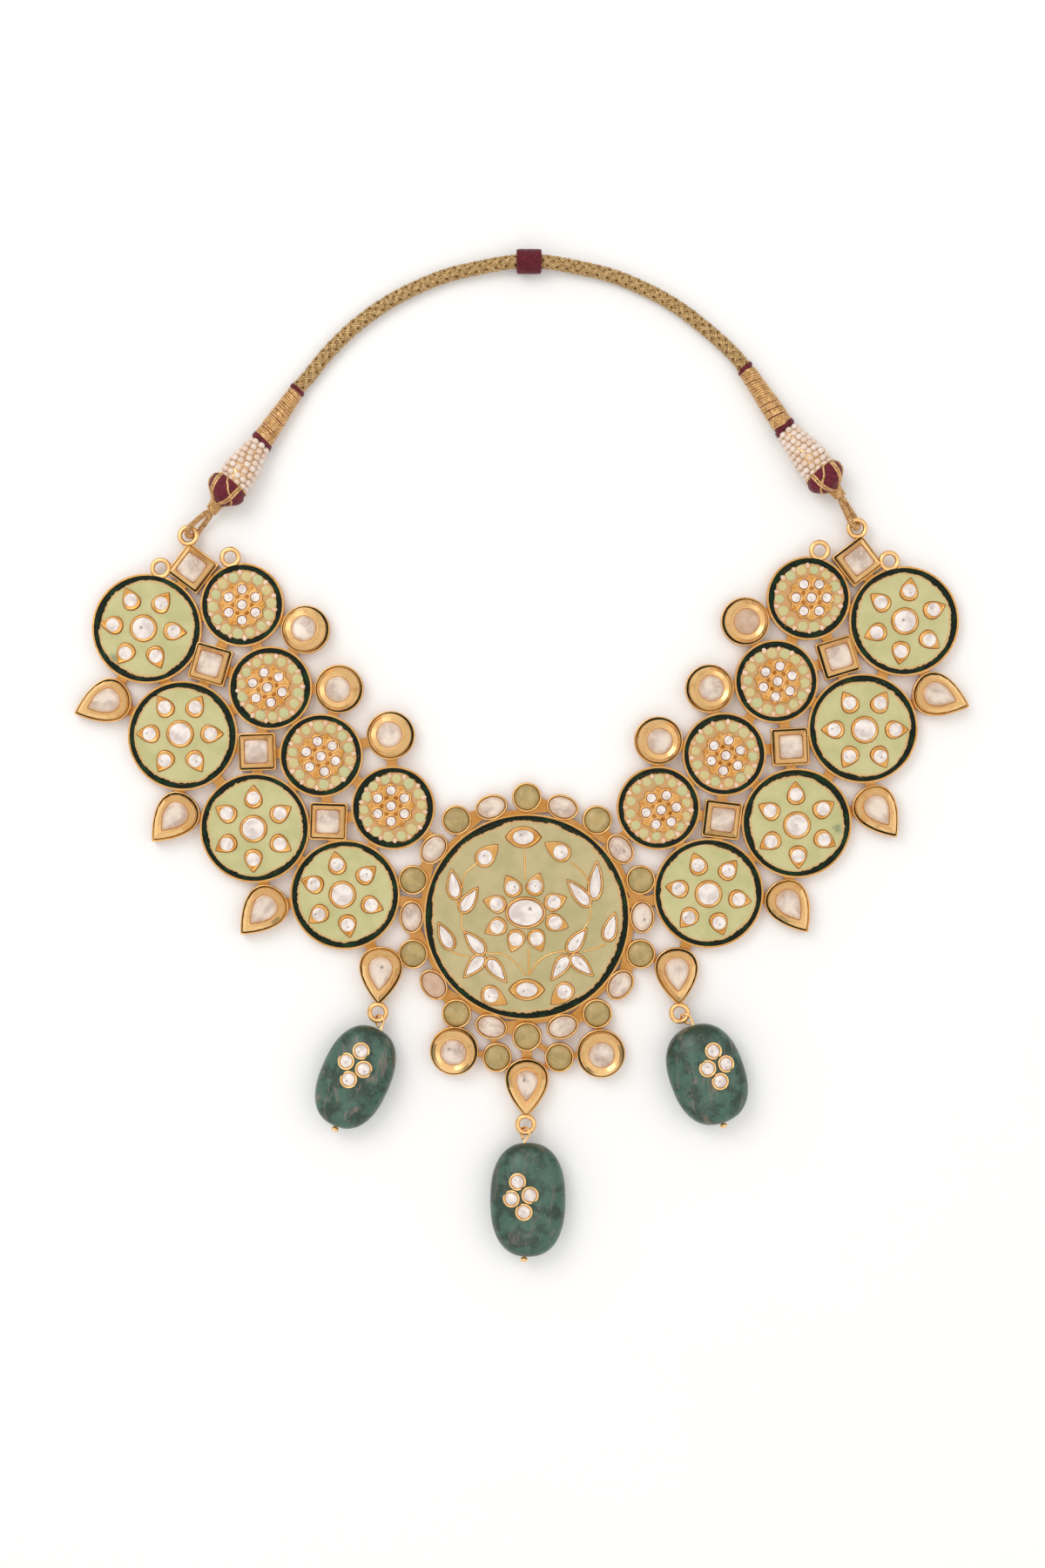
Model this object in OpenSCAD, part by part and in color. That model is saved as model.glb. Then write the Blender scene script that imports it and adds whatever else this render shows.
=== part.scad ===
// Kundan necklace: a soldered gold collar of enamelled discs round a medallion, with three bead
// drops and a silk and gold neck cord that closes the loop. Millimetres. The necklace lies on
// its back, the neck side towards +Y and the face up, with the origin at the middle of the
// medallion's back.

/* [Discs] */
// Radius of the medallion over its gold rim
medallion_r = 23.7; // [23.2:0.1:24.4]
// Radius of a large disc over its gold rim
large_r = 12.6; // [12.2:0.1:13.2]
// Radius of a small disc over its gold rim
small_r = 9.6; // [9.2:0.1:10.2]
// Width of the gold rim round a disc
rim_w = 0.4; // [0.3:0.05:0.5]
// Width of the dark enamel line inside the rim
border_w = 1; // [0.8:0.05:1.1]
// Thickness of the gold floor under the enamel
floor_t = 1.4; // [1.3:0.05:1.8]
// Thickness of the enamel on its floor
enamel_t = 1.2; // [1:0.1:1.5]
// Height of rims and stone cells above the enamel
rim_rise = 0.3; // [0.2:0.05:0.5]
// Height of the disc stones above their cells
stone_rise = 0.35; // [0.2:0.05:0.5]
// Solder gap between neighbouring discs
solder_gap = 0.6; // [0.4:0.05:0.8]

/* [Disc cells] */
// Gold wall between a disc stone and the edge of its cell
cell_wall = 0.4; // [0.3:0.05:0.5]
// Width of a pear cell on a large disc
petal_w = 3.9; // [3.8:0.1:4.2]
// Length of a pear cell on a large disc
petal_l = 5.1; // [5:0.1:5.4]
// Distance of the pear cells from a large disc's middle, as a share of its radius
petal_ring = 0.536; // [0.524:0.002:0.55]
// Radius of the stone in a pear cell
petal_stone_r = 1.4; // [1.3:0.02:1.44]
// Distance of that stone beyond the middle of the cell's round end
petal_stone_out = 0.3; // [0.1:0.05:0.4]
// Radius of a large disc's middle cell
eye_r = 3; // [2.8:0.1:3.2]
// Radius of the gold star on a small disc
star_r = 5.5; // [5.4:0.1:6]
// Depth of the notches round the star
star_notch = 0.8; // [0.4:0.1:1]
// Distance of the six outer stones from the middle one on a small disc
dot_ring_r = 3.55; // [3.3:0.05:3.7]
// Radius of the stones on a small disc
dot_r = 1.1; // [1:0.05:1.2]

/* [Medallion cells] */
// Length of the flower's middle cell
flower_l = 9; // [8.6:0.1:9.1]
// Width of the flower's middle cell
flower_w = 7; // [6.6:0.1:7.2]
// Distance of the flower's petals from its middle
flower_ring_r = 6.5; // [6.4:0.05:6.8]
// Width of a flower petal's cell
flower_petal_w = 3.9; // [3.7:0.05:4]
// Length of a flower petal's cell
flower_petal_l = 5.2; // [5:0.1:5.5]
// Radius of the stone in a flower petal
flower_stone_r = 1.4; // [1.2:0.05:1.5]
// Width of a leaf's cell
leaf_w = 3.4; // [3.1:0.1:3.6]
// Length of a leaf's cell
leaf_l = 7; // [6.4:0.1:7.4]
// Width of the pointed oval cells above and below
lens_w = 4.7; // [4.3:0.1:5]
// Length of the pointed oval cells above and below
lens_l = 8; // [7.4:0.1:8.4]
// Width of the four drop cells beside them
drop_w = 4.2; // [4:0.1:4.4]
// Length of the four drop cells beside them
drop_l = 6.4; // [6:0.1:6.7]
// Radius of the stone in a drop cell
drop_stone_r = 1.5; // [1.3:0.05:1.65]

/* [Halo] */
// Width of an oval cup of the halo, outwards
halo_oval_w = 5.8; // [5.4:0.1:6.2]
// Length of an oval cup of the halo, along the ring
halo_oval_l = 7.6; // [7.2:0.1:7.9]
// Diameter of a round cup of the halo
cabochon_d = 6.8; // [6.4:0.1:7.1]
// Gap between the medallion's rim and the halo's round cups
halo_gap = 0.4; // [0.3:0.05:0.7]
// Height of the halo cups
halo_h = 2.6; // [2.3:0.1:2.9]
// Gold wall of a halo cup
halo_wall = 0.45; // [0.35:0.05:0.6]
// Thickness of the floor of a halo cup
halo_floor_t = 1; // [0.8:0.1:1.3]
// Height of the halo's cut stones above their cups
oval_rise = 0.6; // [0.4:0.05:0.8]
// Height of the halo's domed stones above their cups
cabochon_rise = 1; // [0.7:0.05:1.3]

/* [High settings] */
// Width of a square setting's base
square_w = 8.4; // [8:0.1:8.8]
// Width of a square stone
square_stone_w = 5.4; // [5.1:0.1:5.6]
// Radius of a round setting's base
round_r = 5.5; // [5.2:0.1:5.8]
// Radius of a round stone
round_stone_r = 2.75; // [2.4:0.05:3]
// Width of a pear setting's base
pear_w = 9.9; // [9.4:0.1:10.3]
// Length of a pear setting's base
pear_l = 13.4; // [12.8:0.1:14]
// Width of a pear stone
pear_stone_w = 5.1; // [4.7:0.1:5.3]
// Length of a pear stone
pear_stone_l = 7.1; // [6.8:0.1:7.4]
// Height of the bases of the high settings
base_h = 3.2; // [2.9:0.1:3.5]
// Height of the crest of a high setting
crest_h = 5.6; // [5.3:0.1:6]
// Step from a base's edge in to its bezel
base_step = 0.6; // [0.45:0.05:0.75]
// Width of a bezel's outer slope
slope_w = 0.8; // [0.6:0.05:0.95]
// Drop of a bezel's slopes from the crest
slope_drop = 0.8; // [0.6:0.05:1]
// Height of a high setting's stone, from seat to table
high_stone_h = 1.9; // [1.7:0.1:2.1]

/* [Rings and bars] */
// Wire radius of the soldered rings
ring_wire_r = 0.56; // [0.46:0.02:0.6]
// Radius of a soldered ring to the middle of its wire
ring_r = 1.9; // [1.8:0.05:2.05]
// Height of the rings' middle above the back
ring_z = 3; // [2.9:0.1:3.4]
// Width of the bars that join the settings
bar_w = 2.4; // [2:0.1:2.8]
// Width of the bars of the halo
halo_bar_w = 1.3; // [1:0.1:1.8]
// Thickness of the bars
bar_t = 1.1; // [0.9:0.05:1.2]
// Clearance round every stone and enamel
fit_gap = 0.06; // [0.04:0.01:0.08]

/* [Drops] */
// Length of the middle bead
centre_bead_l = 26; // [25:0.5:28]
// Length of a side bead
side_bead_l = 23.8; // [22.8:0.1:25]
// Width of the beads
bead_w = 17.2; // [16.5:0.1:18]
// Thickness of the beads
bead_t = 9.6; // [9.2:0.1:10.4]
// Wire radius of the head pins
pin_r = 0.3; // [0.25:0.01:0.32]
// Radius of the ball at a head pin's end
pin_ball_r = 0.9; // [0.8:0.05:1]
// Free length of a pin between its ring and its bead
pin_neck = 1.55; // [1.4:0.05:2]
// Clearance round a pin in its bead
bore_gap = 0.15; // [0.1:0.01:0.2]
// Radius of the gold studs on the beads
stud_r = 2; // [1.9:0.02:2.06]
// Height of the gold studs
stud_h = 0.9; // [0.7:0.05:1.1]
// Radius of a stud's hollow
stud_hollow_r = 1.45; // [1.3:0.05:1.5]

/* [Cord] */
// Radius of the neck cord
cord_r = 1.7; // [1.6:0.02:1.74]
// Strand radius of the loops that hold the end rings
strand_r = 0.75; // [0.65:0.02:0.78]
// Radius of the slide that closes the cord
slide_r = 2.9; // [2.6:0.05:2.95]
// Length of the slide
slide_l = 6; // [5:0.5:8]
// Gap between the pieces on the cord
cord_gap = 0.1; // [0.06:0.01:0.14]

/* [Hidden] */

GOLD = "goldenrod";
CLEAR = "mistyrose";
OLIVE = "darkkhaki";
PISTACHIO = "#c8d68c";
DARK = "#16351f";
TEAL = "#2f6f5b";
MAROON = "#6e2340";
PEARL = "#f0dcc4";
ZARI = "#c79a4b";

$fn = 48;
THROUGH = 1;   // how far a cut runs past a face
LAP = 1;       // how far a bar runs into a cup
SINK = 0.8;    // how deep a bezel stands in its base
MARKED_Z = floor_t + enamel_t + rim_rise;

// Wing tables, a row for each pair of discs from the medallion to the neck.
// Columns: direction of the large disc from the one before, its gap in solder gaps,
// direction of the small disc from its large one, its gap, turn of the large disc's petals,
// turn of the small disc's stones, their shift off its middle in stone radii, and the shift of
// the large disc's cells off its middle in radii of its middle cell.
LARGE_DIR = 0;
LARGE_GAP = 1;
SMALL_DIR = 2;
SMALL_GAP = 3;
TURN = 4;
STAR_TURN = 5;
STAR_SHIFT = 6;
LARGE_SHIFT = 7;
LEFT = [
    [173, 0, 61, 1, -20, 30, [-0.4, 0.4], [-0.2, 0]],
    [143.5, 1, 47.5, 0.6, 30, 43, [0, -0.2], [-0.1, -0.07]],
    [128, 2.8, 28.5, 1.2, 0, 43, [-0.6, 0.1], [-0.2, 0.13]],
    [108.5, 1.2, 14, 0.6, -6, 30, [0, 0], [-0.27, 0.03]]];
RIGHT = [
    [7.5, 0, 120.5, 0.8, -10, 10, [0.6, -0.4], [0, -0.07]],
    [38.5, 1.1, 136.5, 1.2, 32, 20, [0.35, -0.25], [0.03, -0.17]],
    [55, 2.2, 151.5, 0.7, 0, 22, [0.3, 0], [0.15, -0.1]],
    [69, 2, 166.5, 0.6, 22, 0, [0.6, 0.1], [0.08, 0]]];

// High settings of a wing, a row for each place between two pairs of discs.
// Columns: turn of the square, gap of the round setting in solder gaps, direction and angle
// of its lean, gap of the pear setting, turn of its tip off the square to the discs.
SQUARE_TURN = 0;
ROUND_GAP = 1;
LEAN_DIR = 2;
LEAN = 3;
PEAR_GAP = 4;
PEAR_TURN = 5;
LEFT_HIGH = [
    [-2, 2.6, 150, 7, 1.4, -6],
    [2, 1.2, 220, 6, 0.9, 10],
    [-16, 0.9, 150, 8, 1.9, 2]];
RIGHT_HIGH = [
    [-7, 0.6, -40, 7, 1, -5],
    [3, 0.6, 0, 7, 1.3, -19],
    [17, 0.7, -40, 7, 1.1, 2]];

// End squares: turn, then direction of the cord's ring, and directions of the spare rings on
// the last large and small disc
LEFT_END = [53, 98, 77, 104];
RIGHT_END = [37, 91, 104, 77];

// Lower settings: distance in reaches, direction, lean direction, lean, side of the tip
LOWER_CABOCHONS = [[0.81, -102], [0.83, -77]];
LOWER_ROUNDS = [[1.1, -118.5, 225, 6], [1.2, -61.5, -50, 5]];
DROP_PEARS = [[2.2, -64, -94], [2.4, -112.8, -86], [2.8, -90, -91.5]];

// Medallion: distances are shares of its radius. Columns: distance, direction, tip direction,
// and for a leaf its length in leaf lengths.
FLOWER_AT = [-0.3, 1];
// Direction and distance in ring radii of each petal
FLOWER_PETALS = [[20.5, 1.04], [70, 0.97], [117.5, 0.97], [163.5, 1.04],
    [206.5, 1.09], [250, 0.97], [293, 0.97], [341.5, 1.08]];
LEAVES = [
    [0.71, 166, 98, 1], [0.64, 176, 56, 1], [0.79, 203.5, 117, 1],
    [0.545, 221, 132, 1], [0.555, 222, 227, 1], [0.555, 226.5, -51, 1],
    [0.67, 14, 85, 1.3], [0.62, 10, 131, 1.14], [0.81, -17, 74, 1],
    [0.525, -40.5, 52, 1], [0.55, -42.5, -125, 1], [0.565, -41, -43, 1]];
LENSES = [[0.775, 92.5, 0], [0.705, -90, 0]];
DROPS = [[0.714, 122, 45], [0.712, 65.5, 150], [0.837, -112, -29], [0.823, -66, -137]];

// Beads: 0 left, 1 right, 2 middle. Columns: direction from the drop ring to the bead's bore,
// direction of the pin, turn of the bead off it, shift of the bead off it in bead widths, length
// and width as shares, the stud group's place along and across in stud radii, and its turn.
HANG_DIR = 0;
PIN_DIR = 1;
BEAD_TURN = 2;
BEAD_SHIFT = 3;
BEAD_SIZE = 4;
GROUP_AT = 5;
GROUP_TURN = 6;
BEADS = [
    [-79, -114.8, 1, -0.045, [1.02, 0.93], [1.48, -0.55], 0],
    [-40.5, -73.2, 3, -0.016, [0.98, 1], [0.78, 1.27], 7],
    [-94.5, -90.2, 0, 0.049, [1, 1], [0.68, -0.8], -12]];
STUD_PLACES = [[1.85, 0], [-1.85, 0], [0, 1.12], [0, -1.12]];

// Cord stations from the loop's neck to the neck cord. Columns: x, y, z, radius.
LEFT_STATIONS = [
    [-72.4, 93.3, 3.2, 1.4], [-70.8, 95.3, 3.9, 1.9], [-69.4, 97, 4.6, 4.3],
    [-68.4, 98.3, 4.8, 4.7], [-67.6, 99.3, 4.5, 4.1], [-65.6, 102.3, 4.3, 4.2],
    [-63.3, 105.8, 3.6, 3.5], [-61.2, 108.8, 2.9, 2.75], [-60.6, 109.7, 2.8, 2.6],
    [-57, 115, 2.4, 2.3], [-52.6, 121.5, 1.95, 1.85]];
RIGHT_STATIONS = [
    [71.9, 96.6, 3.2, 1.4], [70.4, 98.4, 3.9, 1.9], [69, 99.9, 4.6, 4.3],
    [68, 101.1, 4.8, 4.7], [67.2, 102.1, 4.5, 4.1], [64.8, 105.1, 4.3, 4.2],
    [62.2, 108.5, 3.6, 3.5], [59.6, 111.9, 2.9, 2.75], [58.9, 112.9, 2.8, 2.6],
    [54.8, 119.2, 2.5, 2.4], [50, 126.4, 2.05, 1.95]];
CAP_END = 4;
PEARL_END = 7;
WOUND_END = 10;
CORD_ROUTE = [
    [-52.6, 121.5, 1.95], [-50, 124.5, 1.75], [-46, 129.5, 1.75], [-40.5, 135, 1.75],
    [-34, 140, 1.75], [-27, 144, 1.75], [-18.5, 147.5, 1.8], [-9.5, 149.5, 2.4],
    [-3.5, 150.4, 3], [0.5, 150.5, 3], [4.5, 150.4, 3], [10.5, 149.5, 2.4],
    [19.5, 147.5, 1.8], [28, 144, 1.75], [35, 140, 1.75], [41.5, 135, 1.75],
    [46.5, 130.5, 1.8], [50, 126.4, 2.05]];
SLIDE_AT = [0.5, 150.5, 3];

// Plane geometry
function at(p, r, a) = p + r * [cos(a), sin(a)];
function angle_of(v) = atan2(v[1], v[0]);
function unit(v) = v / norm(v);
// Point at distance dp from p and dq from q, on the left of the way from p to q
function nest(p, q, dp, dq) =
    let (d = norm(q - p), x = (d * d + dp * dp - dq * dq) / (2 * d), y = sqrt(dp * dp - x * x),
        u = unit(q - p))
    p + x * u + y * [-u[1], u[0]];

// Outlines, all convex and anticlockwise
function ngon(r, n) = [for (i = [0 : n - 1]) [r * cos(360 * i / n), r * sin(360 * i / n)]];
function oval(l, w, n) = [for (p = ngon(0.5, n)) [l * p[0], w * p[1]]];
// Pear with its tip on +X and the origin at the middle of its round end
PEAR_FATNESS = 0.77;
function pear(w, l, n = 20) = [for (i = [0 : n - 1]) let (t = 360 * i / n)
    [(l * (1 + cos(t)) - w) / 2, w * sin(t) * sin(t / 2) / (2 * PEAR_FATNESS)]];
// The same pear grown by d all round
TIP_GROWTH = 2.5;
function grown_pear(w, l, d, n = 20) = pear(w + 2 * d, l + TIP_GROWTH * d, n);
function lens(w, l, n = 16) =
    let (b = w / 2, a = l / 2, r = (a * a + b * b) / (2 * b), half = asin(a / r), m = n / 2)
    [for (side = [1, -1], i = [0 : m - 1]) let (t = half * (1 - 2 * i / m))
        side * [r * sin(t), r * cos(t) - r + b]];
function box_outline(w, cut) = let (h = w / 2, c = h - cut)
    [[h, -c], [h, c], [c, h], [-c, h], [-h, c], [-h, -c], [-c, -h], [c, -h]];
function square_outline(w) = [for (s = [[1, -1], [1, 1], [-1, 1], [-1, -1]]) s * w / 2];
function star(r, notch, n) = [for (i = [0 : 2 * n - 1])
    (r - (i % 2) * notch) * [cos(180 * i / n), sin(180 * i / n)]];
function raised(outline, z) = [for (p = outline) [p[0], p[1], z]];
function shrunk(outline, share) =
    let (m = [for (k = [0, 1]) [for (p = outline) p[k]] * [for (p = outline) 1] / len(outline)])
    [for (p = outline) m + share * (p - m)];

// Places worked out from the wing tables
function large_at(wing, i) = i == 0
    ? at([0, 0], medallion_r + halo_oval_w + large_r, wing[0][LARGE_DIR])
    : at(large_at(wing, i - 1), 2 * large_r + solder_gap * wing[i][LARGE_GAP], wing[i][LARGE_DIR]);
function small_at(wing, i) = at(large_at(wing, i),
    large_r + small_r + solder_gap * wing[i][SMALL_GAP], wing[i][SMALL_DIR]);
function square_at(wing, i) = (large_at(wing, i) + large_at(wing, i + 1)
    + small_at(wing, i) + small_at(wing, i + 1)) / 4;
function end_square_at(wing, s) = let (p = large_at(wing, 3), q = small_at(wing, 3),
    dp = large_r + square_w / 2 + solder_gap, dq = small_r + square_w / 2 + solder_gap / 2)
    s > 0 ? nest(p, q, dp, dq) : nest(q, p, dq, dp);
function round_at(wing, high, i, s) = let (p = small_at(wing, i), q = small_at(wing, i + 1),
    d = small_r + round_r + solder_gap * high[i][ROUND_GAP])
    s > 0 ? nest(q, p, d, d) : nest(p, q, d, d);
function pear_at(wing, high, i, s) = let (p = large_at(wing, i), q = large_at(wing, i + 1),
    d = large_r + pear_w / 2 + solder_gap * high[i][PEAR_GAP])
    s > 0 ? nest(p, q, d, d) : nest(q, p, d, d);
function pear_dir(wing, high, i, s) =
    angle_of(large_at(wing, i + 1) - large_at(wing, i)) + s * 90 + high[i][PEAR_TURN];

CABOCHON_RING = medallion_r + halo_gap + cabochon_d / 2;
OVAL_LAP = 0.1;  // how far an oval runs into the rim
OVAL_RING = medallion_r + halo_oval_w / 2 - OVAL_LAP;
HALO_STEP = 36;
function cabochon_at(k) = at([0, 0], CABOCHON_RING, 90 + HALO_STEP * k);
function oval_dir(k) = 72 + HALO_STEP * k;
function oval_at(k) = at([0, 0], OVAL_RING, oval_dir(k));
function lower_cabochon_at(k) =
    at([0, 0], CABOCHON_RING + cabochon_d * LOWER_CABOCHONS[k][0], LOWER_CABOCHONS[k][1]);
function lower_round_at(k) =
    at([0, 0], CABOCHON_RING + cabochon_d * LOWER_ROUNDS[k][0], LOWER_ROUNDS[k][1]);
CABOCHONS = concat([for (k = [0 : 9]) cabochon_at(k)], [for (k = [0, 1]) lower_cabochon_at(k)]);
// Drop pears: 0 hangs off the first left disc, 1 off the first right one, 2 off the halo
function drop_pear_at(k) = k == 2
    ? at([0, 0], CABOCHON_RING + cabochon_d / 2 + pear_w / 2 + solder_gap * DROP_PEARS[2][0],
        DROP_PEARS[2][1])
    : at(large_at(k == 0 ? LEFT : RIGHT, 0),
        large_r + pear_w / 2 + solder_gap * DROP_PEARS[k][0], DROP_PEARS[k][1]);
function drop_ring_at(k) =
    at(drop_pear_at(k), pear_l - pear_w / 2 + ring_r - ring_wire_r / 2, DROP_PEARS[k][2]);
function end_ring_at(wing, end, s) =
    at(end_square_at(wing, s), square_w / 2 * sqrt(2) + ring_r - ring_wire_r / 2, end[1]);

// Solids from rings of points
function faces_between(n, k, m) = [for (i = [0 : n - 1])
    [k * n + i, m * n + i, m * n + (i + 1) % n, k * n + (i + 1) % n]];
module loft(rings) {
    n = len(rings[0]);
    last = len(rings) - 1;
    polyhedron([for (r = rings) each r], concat(
        [[for (i = [0 : n - 1]) i]],
        [for (k = [0 : last - 1]) each faces_between(n, k, k + 1)],
        [[for (i = [n - 1 : -1 : 0]) last * n + i]]));
}
module closed_loft(rings) {
    n = len(rings[0]);
    m = len(rings);
    polyhedron([for (r = rings) each r],
        [for (k = [0 : m - 1]) each faces_between(n, k, (k + 1) % m)]);
}
function along(path, i, closed = false) = let (n = len(path))
    closed ? unit(path[(i + 1) % n] - path[(i + n - 1) % n])
    : unit(path[min(i + 1, n - 1)] - path[max(i - 1, 0)]);
function ring_round(c, t, r, n, up) = let (s = unit(cross(t, up)), u = cross(s, t))
    [for (k = [0 : n - 1]) c + r * (cos(360 * k / n) * s - sin(360 * k / n) * u)];
function swept(path, radii, n, up, closed = false) = [for (i = [0 : len(path) - 1])
    ring_round(path[i], along(path, i, closed), radii[i], n, up)];

// A cut stone on its seat: straight girdle, sloping crown facets and a flat table
module gem(outline, h, crown, table) {
    loft([raised(outline, 0), raised(outline, h - crown), raised(shrunk(outline, table), h)]);
}
// A small cut stone whose facets run from the seat to the table
module small_gem(outline, h, table) {
    loft([raised(outline, 0), raised(shrunk(outline, table), h)]);
}

// Back bars
module bar(p, q, from_p, from_q, w) {
    translate(p) rotate(angle_of(q - p)) translate([from_p - LAP, -w / 2])
        square([norm(q - p) - from_p - from_q + 2 * LAP, w]);
}
module wing_bars(wing, high, s) {
    for (i = [0 : 3]) bar(large_at(wing, i), small_at(wing, i), large_r, small_r, bar_w);
    for (i = [0 : 2]) {
        sq = square_at(wing, i);
        bar(large_at(wing, i), large_at(wing, i + 1), large_r, large_r, bar_w);
        bar(small_at(wing, i), small_at(wing, i + 1), small_r, small_r, bar_w);
        for (j = [i, i + 1]) {
            bar(sq, large_at(wing, j), square_w / 2, large_r, bar_w);
            bar(sq, small_at(wing, j), square_w / 2, small_r, bar_w);
            bar(round_at(wing, high, i, s), small_at(wing, j), round_r, small_r, bar_w);
            bar(pear_at(wing, high, i, s), large_at(wing, j), pear_w / 2, large_r, bar_w);
        }
    }
    end = end_square_at(wing, s);
    bar(end, large_at(wing, 3), square_w / 2, large_r, bar_w);
    bar(end, small_at(wing, 3), square_w / 2, small_r, bar_w);
    bar([0, 0], large_at(wing, 0), medallion_r, large_r, bar_w);
    bar([0, 0], small_at(wing, 0), medallion_r, small_r, bar_w);
}
module halo_bars() {
    c = cabochon_d / 2;
    for (k = [0 : 9]) {
        bar([0, 0], cabochon_at(k), medallion_r, c, halo_bar_w);
        bar(cabochon_at(k), oval_at(k), c, halo_oval_l / 2, halo_bar_w);
        bar(cabochon_at(k + 1), oval_at(k), c, halo_oval_l / 2, halo_bar_w);
    }
    for (k = [0, 1]) {
        bar(lower_cabochon_at(k), oval_at(k == 0 ? 5 : 4), c, halo_oval_w / 2, halo_bar_w);
        bar(lower_cabochon_at(k), lower_round_at(k), c, round_r, halo_bar_w);
        bar(lower_cabochon_at(k), drop_pear_at(2), c, pear_w / 2, halo_bar_w);
        bar(lower_round_at(k), cabochon_at(k == 0 ? 4 : 6), round_r, c, halo_bar_w);
        bar(drop_pear_at(k), large_at(k == 0 ? LEFT : RIGHT, 0), pear_w / 2, large_r, bar_w);
        bar(drop_pear_at(k), cabochon_at(k == 0 ? 3 : 7), pear_w / 2, c, halo_bar_w);
    }
    bar(drop_pear_at(2), cabochon_at(5), pear_w / 2, c, bar_w);
}

// Cups and settings of the frame
function leaning(dir) = [-sin(dir), cos(dir), 0];
module leaned(dir, lean) {
    translate([0, 0, base_h]) rotate(a = lean, v = leaning(dir)) translate([0, 0, -base_h]) children();
}
// Rings of a bezel: outer wall, crest, inner slope and the stone's pocket
module bezel(outer, crest, inner) {
    seat = crest_h - high_stone_h;
    loft([raised(outer, base_h - SINK), raised(outer, crest_h - slope_drop), raised(crest, crest_h),
        raised(inner, crest_h - slope_drop), raised(inner, seat)]);
}
module round_bezel() {
    ro = round_r - base_step;
    ri = round_stone_r + fit_gap;
    seat = crest_h - high_stone_h;
    low = crest_h - slope_drop;
    rotate_extrude() polygon([[0, base_h - SINK], [ro, base_h - SINK], [ro, low],
        [ro - slope_w, crest_h], [ri, low], [ri, seat], [0, seat]]);
}
module square_setting(turn) {
    rotate(turn) {
        linear_extrude(base_h) polygon(square_outline(square_w));
        bezel(square_outline(square_w - 2 * base_step),
            square_outline(square_w - 2 * base_step - 2 * slope_w),
            square_outline(square_stone_w + 2 * fit_gap));
    }
}
module round_setting(dir, lean) {
    cylinder(r = round_r, h = base_h);
    leaned(dir, lean) round_bezel();
}
module pear_setting(dir) {
    rotate(dir) {
        linear_extrude(base_h) polygon(pear(pear_w, pear_l, 24));
        bezel(grown_pear(pear_w, pear_l, -base_step, 16),
            grown_pear(pear_w, pear_l, -base_step - slope_w, 16),
            grown_pear(pear_stone_w, pear_stone_l, fit_gap, 16));
    }
}
module soldered_ring() {
    translate([0, 0, ring_z]) rotate_extrude() translate([ring_r, 0]) circle(r = ring_wire_r, $fn = 24);
}
module disc_body(r) {
    cylinder(r = r, h = MARKED_Z);
}
module disc_recess(r) {
    translate([0, 0, floor_t]) cylinder(r = r - rim_w, h = enamel_t + rim_rise + THROUGH);
}
module wing_settings(wing, high, end, s) {
    for (i = [0 : 3]) {
        translate(large_at(wing, i)) disc_body(large_r);
        translate(small_at(wing, i)) disc_body(small_r);
    }
    for (i = [0 : 2]) {
        translate(square_at(wing, i)) square_setting(high[i][SQUARE_TURN]);
        translate(round_at(wing, high, i, s)) round_setting(high[i][LEAN_DIR], high[i][LEAN]);
        translate(pear_at(wing, high, i, s)) pear_setting(pear_dir(wing, high, i, s));
    }
    translate(end_square_at(wing, s)) square_setting(end[0]);
    translate(end_ring_at(wing, end, s)) soldered_ring();
    translate(at(large_at(wing, 3), large_r + ring_r - ring_wire_r / 2, end[2])) soldered_ring();
    translate(at(small_at(wing, 3), small_r + ring_r - ring_wire_r / 2, end[3])) soldered_ring();
}
module wing_recesses(wing) {
    for (i = [0 : 3]) {
        translate(large_at(wing, i)) disc_recess(large_r);
        translate(small_at(wing, i)) disc_recess(small_r);
    }
}
module halo_cups() {
    for (p = CABOCHONS) translate(p) cylinder(r = cabochon_d / 2, h = halo_h);
    for (k = [0 : 9]) translate(oval_at(k)) rotate(oval_dir(k) + 90)
        linear_extrude(halo_h) polygon(oval(halo_oval_l, halo_oval_w, 24));
}
module halo_pockets() {
    h = halo_h - halo_floor_t + THROUGH;
    for (p = CABOCHONS) translate([p[0], p[1], halo_floor_t])
        cylinder(r = cabochon_d / 2 - halo_wall, h = h);
    for (k = [0 : 9]) translate([oval_at(k)[0], oval_at(k)[1], halo_floor_t])
        rotate(oval_dir(k) + 90) linear_extrude(h)
        polygon(oval(halo_oval_l - 2 * halo_wall, halo_oval_w - 2 * halo_wall, 24));
}

// Stone cells that stand up through the enamel, each an outline grown by d
module petal_places(row) {
    for (k = [0 : 5]) rotate(row[TURN] + 60 * k) translate([large_r * petal_ring, 0]) children();
}
module large_cells(row, d) {
    translate(eye_r * row[LARGE_SHIFT]) {
        circle(r = eye_r + d);
        petal_places(row) polygon(grown_pear(petal_w, petal_l, d, 16));
    }
}
module large_pockets(row) {
    translate(eye_r * row[LARGE_SHIFT]) {
        circle(r = eye_r - cell_wall + fit_gap);
        petal_places(row) translate([petal_stone_out, 0]) circle(r = petal_stone_r + fit_gap);
    }
}
STAR_POINTS = 12;
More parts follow.
